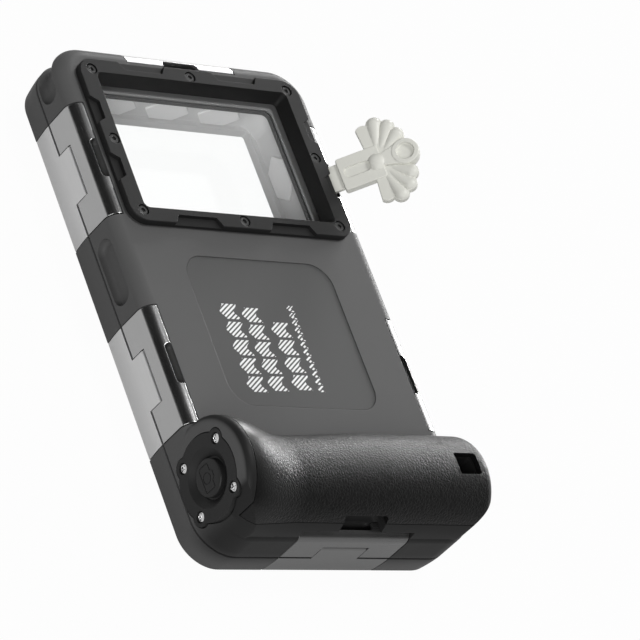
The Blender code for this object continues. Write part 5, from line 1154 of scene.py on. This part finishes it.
lengths = sorted({row[-1] for row in latchTable})
levers = {length: leverMesh(length) for length in lengths}
hooks = {length: hookMesh(length) for length in lengths}
for name, place, turn, length in latchTable:
    where = latchPlace(place, turn)
    # the top latch takes the lighter copies of its metal, painted light, and the bottom latch the darker
    # ones, painted shade
    end = {"top": "Top", "bottom": "Bottom"}.get(name, "")
    hinge = where @ shift(-latch["hingeIn"], 0, latch["hingeZ"])
    link = where @ shift(-latch["hingeIn"], 0, latch["linkZ"])
    hingePin = pinMesh(latch["pin"], length / 2 + gap + latch["pinSeat"])
    linkPin = pinMesh(latch["linkPin"], latch["notchHalf"] + latch["earWidth"] - 0.4)
    addPiece(f"lever_{name}_skin", moved(levers[length], where), looks["lever" + end], f"latch_{name}",
             [f"lever_{name}"])
    addPiece(f"hook_{name}_skin", moved(hooks[length], where), looks["hook" + end], f"hook_{name}",
             [f"hook_{name}"])
    addPiece(f"hinge_{name}_skin", moved(hingePin, hinge), looks["pin"], "root",
             [f"hinge_pin_{name}"])
    addPiece(f"link_{name}_skin", moved(linkPin, link), looks["pin"], f"latch_{name}",
             [f"link_pin_{name}"])
print("latches made")


# Shutter control on the left face of the boss: local Z of these shapes points out of the face


def onLeftFace(mesh, y=bossY, z=grip["bossAxis"]):
    # local Z comes to point out of the left face, at that y and z
    return moved(mesh, shift(-halfX, y, z) @ spin(-90, "Y"))


def plateMesh():
    # the lobed disc drawn out to its thickness, less a cone for the button and screw holes
    thick = plate["thickness"]
    body = softPrism("plate", plateOutline(0.0), -halfX, thick - halfX, "YZ", edge=0.18)
    outer, inner = plate["holeOuter"], plate["holeInner"]
    slope = (outer - inner) / thick
    cone = [(0, 1), (outer + slope, 1), (inner - slope, -thick - 1), (0, -thick - 1)]
    floor = plate["sink"] + plate["headHeight"] + gap
    seat = rod("seat", plate["head"] + gap, -floor, 1, steps=32)
    hole = rod("hole", plate["shank"] + gap, -thick - 1, 1 - floor, steps=20)
    cuts = [onLeftFace(turnedShape("cone", cone, 96))]
    for shape in (seat, hole):
        cuts.append(joined("cuts", [onLeftFace(shape, y, z) for y, z in plateScrewPlaces()]))
    return carved(body, [(cut, "cut") for cut in cuts])


addPiece("buttonPlate", plateMesh(), looks["plate"], "root", ["button_plate"])

cap = {"radius": 6.6, "top": 0.1, "flange": 8.8, "flangeTop": 2.7, "flangeLow": 3.7, "stem": 1.9, "end": 18.5,
       "lineHalf": 0.17, "lineDepth": 0.22}


def pictogram():
    # a plain camera, upright on the case: a body with a step on top and a round lens, as engraved lines
    body = [(-4.5, -2.9), (4.5, -2.9), (4.5, 2.0), (2.0, 2.0), (1.0, 3.2), (-1.3, 3.2), (-1.9, 2.0),
            (-4.5, 2.0)]
    body = filleted([(z, -y) for y, z in body], [0.5, 0.5, 0.5, 0.2, 0.3, 0.3, 0.2, 0.5])
    lens = circle((-0.4, 0.0), 1.9, 40)
    low, high = -cap["top"] - cap["lineDepth"], 1.0
    half = cap["lineHalf"]
    lines = [frameRing("line", insetOutline(shape, -half), insetOutline(shape, half), low, high)
             for shape in (trimmed(body), lens)]
    return joined("pictogram", lines)


def capMesh():
    # a turned button with a flange and a stem, less the picture on its face
    r, top, flange, stem, end = cap["radius"], cap["top"], cap["flange"], cap["stem"], cap["end"]
    # the crowned face as shares of the radius and drops below the top
    crown = [(0, 0), (0.55, 0), (0.8, 0.02), (0.9, 0.08), (0.965, 0.24), (1, 0.55)]
    profile = [(r * share, -top - drop) for share, drop in crown]
    profile += [(r, -cap["flangeTop"]), (flange, -cap["flangeTop"]), (flange, -cap["flangeLow"]),
                (stem, -cap["flangeLow"]), (stem, -end), (0, -end)]
    return onLeftFace(carved(turnedShape("cap", profile, 96), [(pictogram(), "cut")]))


addPiece("shutterCap", capMesh(), looks["button"], "shutter_button", ["shutter_button"])


def plateScrewMesh():
    # a turned dome and shank, less a cross of four equal arms
    head, top = plate["head"], plate["headHeight"]
    shank, end = plate["shank"], -plate["screwLength"]
    crown, arm, thin, floor = 0.45, 1.3, 0.27, top - 0.8
    dome = ellipseArc((0.0, top - crown), head, crown, 90, 0, 8)
    profile = np.concatenate([dome, [(head, 0.0), (shank, 0.0), (shank, end), (0, end)]])
    cross = [(arm, -thin), (arm, thin), (thin, thin), (thin, arm), (-thin, arm), (-thin, thin),
             (-arm, thin), (-arm, -thin), (-thin, -thin), (-thin, -arm), (thin, -arm), (thin, -thin)]
    recess = softPrism("cross", np.array(cross), floor, top + 1)
    return carved(turnedShape("screw", profile, 40), [(recess, "cut")])


phillips = plateScrewMesh()
for number, (y, z) in enumerate(plateScrewPlaces(), 1):
    seated = moved(phillips, shift(0, 0, -plate["sink"] - plate["headHeight"]) @ spin(25 + 31 * number))
    addPiece(f"plateScrew{number}", onLeftFace(seated, y, z), looks["bright"], "root",
             [f"plate_screw_{number}"])


# Side button


def sideButtonMesh():
    # pill sections that shrink towards the outer face along a quarter ellipse
    t = np.linspace(0, np.pi / 2, 9)
    out, crown = sideButton["out"], sideButton["crown"]
    stages = [(out - sideButton["body"], 0.0)]
    stages += [(out - crown + crown * math.sin(a), crown * (1 - math.cos(a))) for a in t]
    long, high, middle = sideButton["halfLong"], sideButton["halfHigh"], (sideButton["y"], sideButton["z"])
    rings = [raised(roundedRect(long - s, high - s, high - s - 0.01, middle, 14), x, "YZ") for x, s in stages]
    stem = rod("stem", sideButton["stem"], sideButton["stemEnd"], out - sideButton["body"] + 1, "X",
               (0, *middle), 28)
    return carved(skinRings("sideButton", rings), [(stem, "add")])


addPiece("sideButton", sideButtonMesh(), looks["side"], "side_button", ["side_button"])
print("controls made")


# Grip cover and strap bar


def gripCoverMesh():
    # the grip's skin above the cover's lower edge, less the core that it is moulded on
    return carved(outerGrip(), [(coverRegion(gap, grip["coverFromLeft"] - halfX), "keep"),
                                (innerGrip(grip["coverThickness"]), "cut"), (strapSlot(), "cut"),
                                (keySlotCut(), "cut")])


addPiece("gripCover", gripCoverMesh(), looks["leather"], "root", ["grip_cover"])
strapBar = moved(pinMesh(strap["barRadius"], strap["barHalf"]),
                 shift(strap["x"], grip["lowY"] + grip["radius"], strap["barZ"]))
addPiece("strapBar", strapBar, looks["screw"], "root", ["lanyard_pin"])
print("grip made")


# Opening key: X runs along the shaft from the blade's tip, and Z is its thickness

key = {
    "blade": 4.4, "bladeHalf": 5.3, "bladeThick": 0.8, "shaft": 18.5, "shaftHalf": 6.75, "shaftThick": 1.6,
    "ringAt": 29.5, "ringRadius": 5.2, "ringBore": 3.4, "ringHalf": 2.25, "dish": 1.1,
    "hub": 4.0, "hubHalf": 3.0, "wedge": (1.8, 4.9, 2.0), "pill": (5.0, 2.2, 1.8), "pillFrom": 6.5,
    "angles": (75.0, 57.0, 39.0), "reaches": (18.6, 17.8, 16.0), "fluteFrom": 2.0, "fluteHalf": 2.9,
    "fluteLeast": 0.22, "proud": 2.4, "plateHalf": 1.2, "lobe": 3.1, "rootTip": (93.0, 16.4),
    "fanHalf": 102, "fanLeast": 9.0, "tip": (52.16, 50.4, 23.9), "lean": 45.0,
}


def flute(angle, reach):
    # a rib from the hub: width grows to a round tip, and the section is an ellipse
    start, half, least = key["fluteFrom"], key["fluteHalf"], key["fluteLeast"]
    share = np.sin(np.linspace(0, np.pi / 2, 33))
    along = start + (reach - start) * share
    tipFrom = reach - half
    wide = least + (1 - least) * np.clip((along - start) / (tipFrom - start), 0, 1)
    over = np.clip(along - tipFrom, 0, None) / half
    wide = wide * np.maximum(0.04, np.sqrt(np.clip(1 - over ** 2, 0, None)))
    t = np.linspace(0, 2 * np.pi, 32, endpoint=False)
    across = half * wide[:, None] * np.cos(t)
    up = key["proud"] * wide[:, None] ** 0.8 * np.sin(t)
    mesh = skinRings("flute", np.stack([np.broadcast_to(along[:, None], across.shape), across, up], -1))
    return moved(mesh, shift(key["shaft"], 0, 0) @ spin(angle))


def fanPlate():
    # the flat plate that joins the ribs: its rim is scalloped in step with them
    tips = [key["rootTip"], *zip(key["angles"], key["reaches"])]
    angles = np.linspace(-key["fanHalf"], key["fanHalf"], 160)
    reach, lobe = np.zeros_like(angles), key["lobe"]
    for angle, far in tips:
        for sign in (-1, 1):
            off = np.radians(angles - sign * angle)
            middle = far - lobe
            rim = middle * np.cos(off) + np.sqrt(np.clip(lobe ** 2 - (middle * np.sin(off)) ** 2, 0, None))
            reach = np.maximum(reach, np.where(np.abs(np.sin(off) * middle) < lobe, rim, 0))
    reach = np.maximum(reach, key["fanLeast"])
    t = np.radians(angles)
    rim = np.column_stack([key["shaft"] + reach * np.cos(t), reach * np.sin(t)])
    outline = np.concatenate([[(key["shaft"] - 2.0, 0.0)], rim])
    return softPrism("fan", outline, -key["plateHalf"], key["plateHalf"], edge=0.35)


def keyMesh():
    # shaft, blade, fan, ribs, hub and ring added up, then ring and shaft hollowed and all of it leaned over
    thick = key["shaftThick"]
    shaftMid, shaftHalf = (key["shaft"] + key["blade"]) / 2, (key["shaft"] - key["blade"]) / 2
    plan = roundedRect(shaftHalf + 1, key["shaftHalf"], 1.0, (shaftMid + 1, 0.0), 6)
    body = softPrism("shaft", plan, -thick, thick, edge=0.4)
    bladeMid = key["blade"] / 2 + 1
    plan = roundedRect(bladeMid, key["bladeHalf"], 0.6, (bladeMid, 0), 5)
    blade = softPrism("blade", plan, -key["bladeThick"], key["bladeThick"], edge=0.25)
    t = np.linspace(0, np.pi, 33)
    ball = np.column_stack([key["hub"] * np.sin(t), key["hubHalf"] * np.cos(t)])
    hub = moved(turnedShape("hub", ball, 48), shift(key["shaft"], 0, 0))
    ringRound = ellipseArc((key["ringRadius"] - 0.6, key["ringHalf"] - 0.6), 0.6, 0.6, 90, 0, 5)
    ringFoot = ringRound[::-1] * [1, -1]
    profile = np.concatenate([[(0, key["ringHalf"])], ringRound, ringFoot, [(0, -key["ringHalf"])]])
    ring = moved(turnedShape("ring", profile, 64), shift(key["ringAt"], 0, 0))
    near, far, rise = key["wedge"]
    wedge = [(key["shaft"], -near), (key["ringAt"], -far), (key["ringAt"], far), (key["shaft"], near)]
    wedge = softPrism("wedge", np.array(wedge), -rise, rise, edge=0.3)
    bore, high, floor = key["ringBore"], key["ringHalf"], key["ringHalf"] - key["dish"]
    dish = [(0, high + 1), (bore + 0.25, high + 1), (bore, high - 0.2), (bore - 0.2, floor + 0.2),
            (bore - 0.6, floor), (0, floor)]
    # a plain sunk pill on the shaft
    pillAt = (key["blade"] + key["pillFrom"], 0.0)
    pill = softPrism("pill", roundedRect(*key["pill"], pillAt, 8), thick - 0.5, thick + 1)
    steps = [(blade, "add"), (fanPlate(), "add")]
    for angle, reach in zip(key["angles"], key["reaches"]):
        steps += [(flute(sign * angle, reach), "add") for sign in (-1, 1)]
    steps += [(wedge, "add"), (hub, "add"), (ring, "add"),
              (moved(turnedShape("dish", dish, 64), shift(key["ringAt"], 0, 0)), "cut"), (pill, "cut")]
    return moved(carved(body, steps), shift(*key["tip"]) @ spin(-key["lean"], "Y"))


addPiece("openingKey", keyMesh(), looks["key"], "opening_key", ["opening_key"], sharp=40)
print("key made")


# Hidden pieces keep their solids and get their finishes

for nodeName, look in {
    "button_seal": "rubber", "side_button_seal": "rubber", "button_spring": "pin", "circuit_board": "board",
    "battery_cell": "cell", "control_switch": "cell",
}.items():
    nodes[nodeName].data.materials.clear()
    nodes[nodeName].data.materials.append(looks[look])


# Floor, light and camera

studio = {"floorZ": -3.2 * mm, "floorHalf": 3.0, "floorWhite": 0.97, "floorMirror": 0.3, "floorTone": 0.5,
          "diffuse": 0.15, "horizonTop": 0.2, "wideFrom": 0.66, "wideTo": 0.8, "ceiling": 0.02,
          "horizon": 0.9, "behind": (0.9, 0.44), "behindFrom": 0.4, "behindTo": 0.75}
# watts, place in metres, side in metres
lamps = {"sheenLamp": (13.0, (1.43, 1.45, 0.33), 0.45), "topLamp": (20.0, (0.5, 0.35, 1.95), 0.5),
         "neckLamp": (20.0, (1.93, 0.8, 0.2), 0.5), "fillLamp": (25.0, (-1.3, -1.35, 1.07), 1.4)}


def studioFloor():
    # camera rays see mostly a white glow, rays through glass see nothing else, reflections see a part of it,
    # and under it is a matt floor that takes the object's shadow
    half, z = studio["floorHalf"], studio["floorZ"]
    mesh = makeMesh("floor", [(-half, -half, z), (half, -half, z), (half, half, z), (-half, half, z)],
                    [[0, 1, 2, 3]])
    floor = placed("floor", mesh)
    made, tree, shader = newMaterial("paleFloor")
    setInputs(shader, {"Base Color": grey(studio["floorTone"]), "Roughness": 1.0, "Specular IOR Level": 0.0})
    glow = node(tree, "Emission", {"Color": grey(1.0), "Strength": 1.0})
    rays = node(tree, "LightPath")
    seen = math2(tree, "MULTIPLY", rays.outputs["Is Camera Ray"], studio["floorWhite"])
    mirrored = math2(tree, "MULTIPLY", rays.outputs["Is Glossy Ray"], studio["floorMirror"])
    share = math2(tree, "MAXIMUM", seen, mirrored)
    share = math2(tree, "MAXIMUM", share, rays.outputs["Is Transmission Ray"])
    mixShaders(tree, share, shader, glow)
    mesh.materials.append(made)


def studioWorld():
    # white to the camera and through glass; reflections see a thin pale horizon, wider behind the object,
    # under a dark ceiling, and diffuse light is low and even
    world = bpy.data.worlds.new("studio")
    bpy.context.scene.world = world
    world.use_nodes = True
    tree = world.node_tree
    background = tree.nodes["Background"]
    background.inputs["Color"].default_value = grey(1.0)
    rays = node(tree, "LightPath")
    x, y, z = node(tree, "SeparateXYZ", {"Vector": node(tree, "TexCoord").outputs["Generated"]}).outputs
    across, along = studio["behind"]

    def faded(value, low, high, start=0.0, end=1.0):
        return node(tree, "MapRange", {"Value": value, "From Min": low, "From Max": high, "To Min": start,
                                       "To Max": end}).outputs["Result"]

    narrow = faded(z, 0.0, studio["horizonTop"], studio["horizon"], studio["ceiling"])
    wide = faded(z, studio["wideFrom"], studio["wideTo"], studio["horizon"], studio["ceiling"])
    towards = math2(tree, "MULTIPLY_ADD", x, across, math2(tree, "MULTIPLY", y, along))
    behind = math2(tree, "MULTIPLY", wide, faded(towards, studio["behindFrom"], studio["behindTo"]))
    mirrored = math2(tree, "MULTIPLY", math2(tree, "MAXIMUM", narrow, behind), rays.outputs["Is Glossy Ray"])
    seen = math2(tree, "MAXIMUM", rays.outputs["Is Camera Ray"], rays.outputs["Is Transmission Ray"])
    even = math2(tree, "MULTIPLY", rays.outputs["Is Diffuse Ray"], studio["diffuse"])
    strength = math2(tree, "MAXIMUM", seen, math2(tree, "MAXIMUM", mirrored, even))
    tree.links.new(strength, background.inputs["Strength"])


def softLamp(name, power, at, size):
    # a square lamp that shines along its own -Z, which is turned to the origin
    lamp = bpy.data.lights.new(name, "AREA")
    lamp.energy, lamp.size = power, size
    holder = placed(name, lamp)
    holder.location = at
    holder.rotation_mode = "QUATERNION"
    holder.rotation_quaternion = Vector(at).to_track_quat("Z", "Y")
    holder.visible_camera = False


def photoCamera():
    # the photograph's view: place, and the directions to its right, up and behind
    right = (0.759340, -0.323747, 0.564438)
    up = (-0.047359, 0.837643, 0.544162)
    behind = (-0.648969, -0.439935, 0.620723)
    place = (-0.825289, -0.585253, 0.833629)
    camera = bpy.data.cameras.new("photoCamera")
    camera.sensor_width = 36.0
    camera.lens = 209.47
    camera.clip_start, camera.clip_end = 0.05, 20.0
    holder = placed("photoCamera", camera)
    holder.matrix_world = Matrix([(right[i], up[i], behind[i], place[i]) for i in range(3)] + [(0, 0, 0, 1)])
    bpy.context.scene.camera = holder


studioFloor()
studioWorld()
for lampName, (power, at, size) in lamps.items():
    softLamp(lampName, power, at, size)
photoCamera()
bpy.context.scene.view_settings.view_transform = "Standard"
print("studio made")
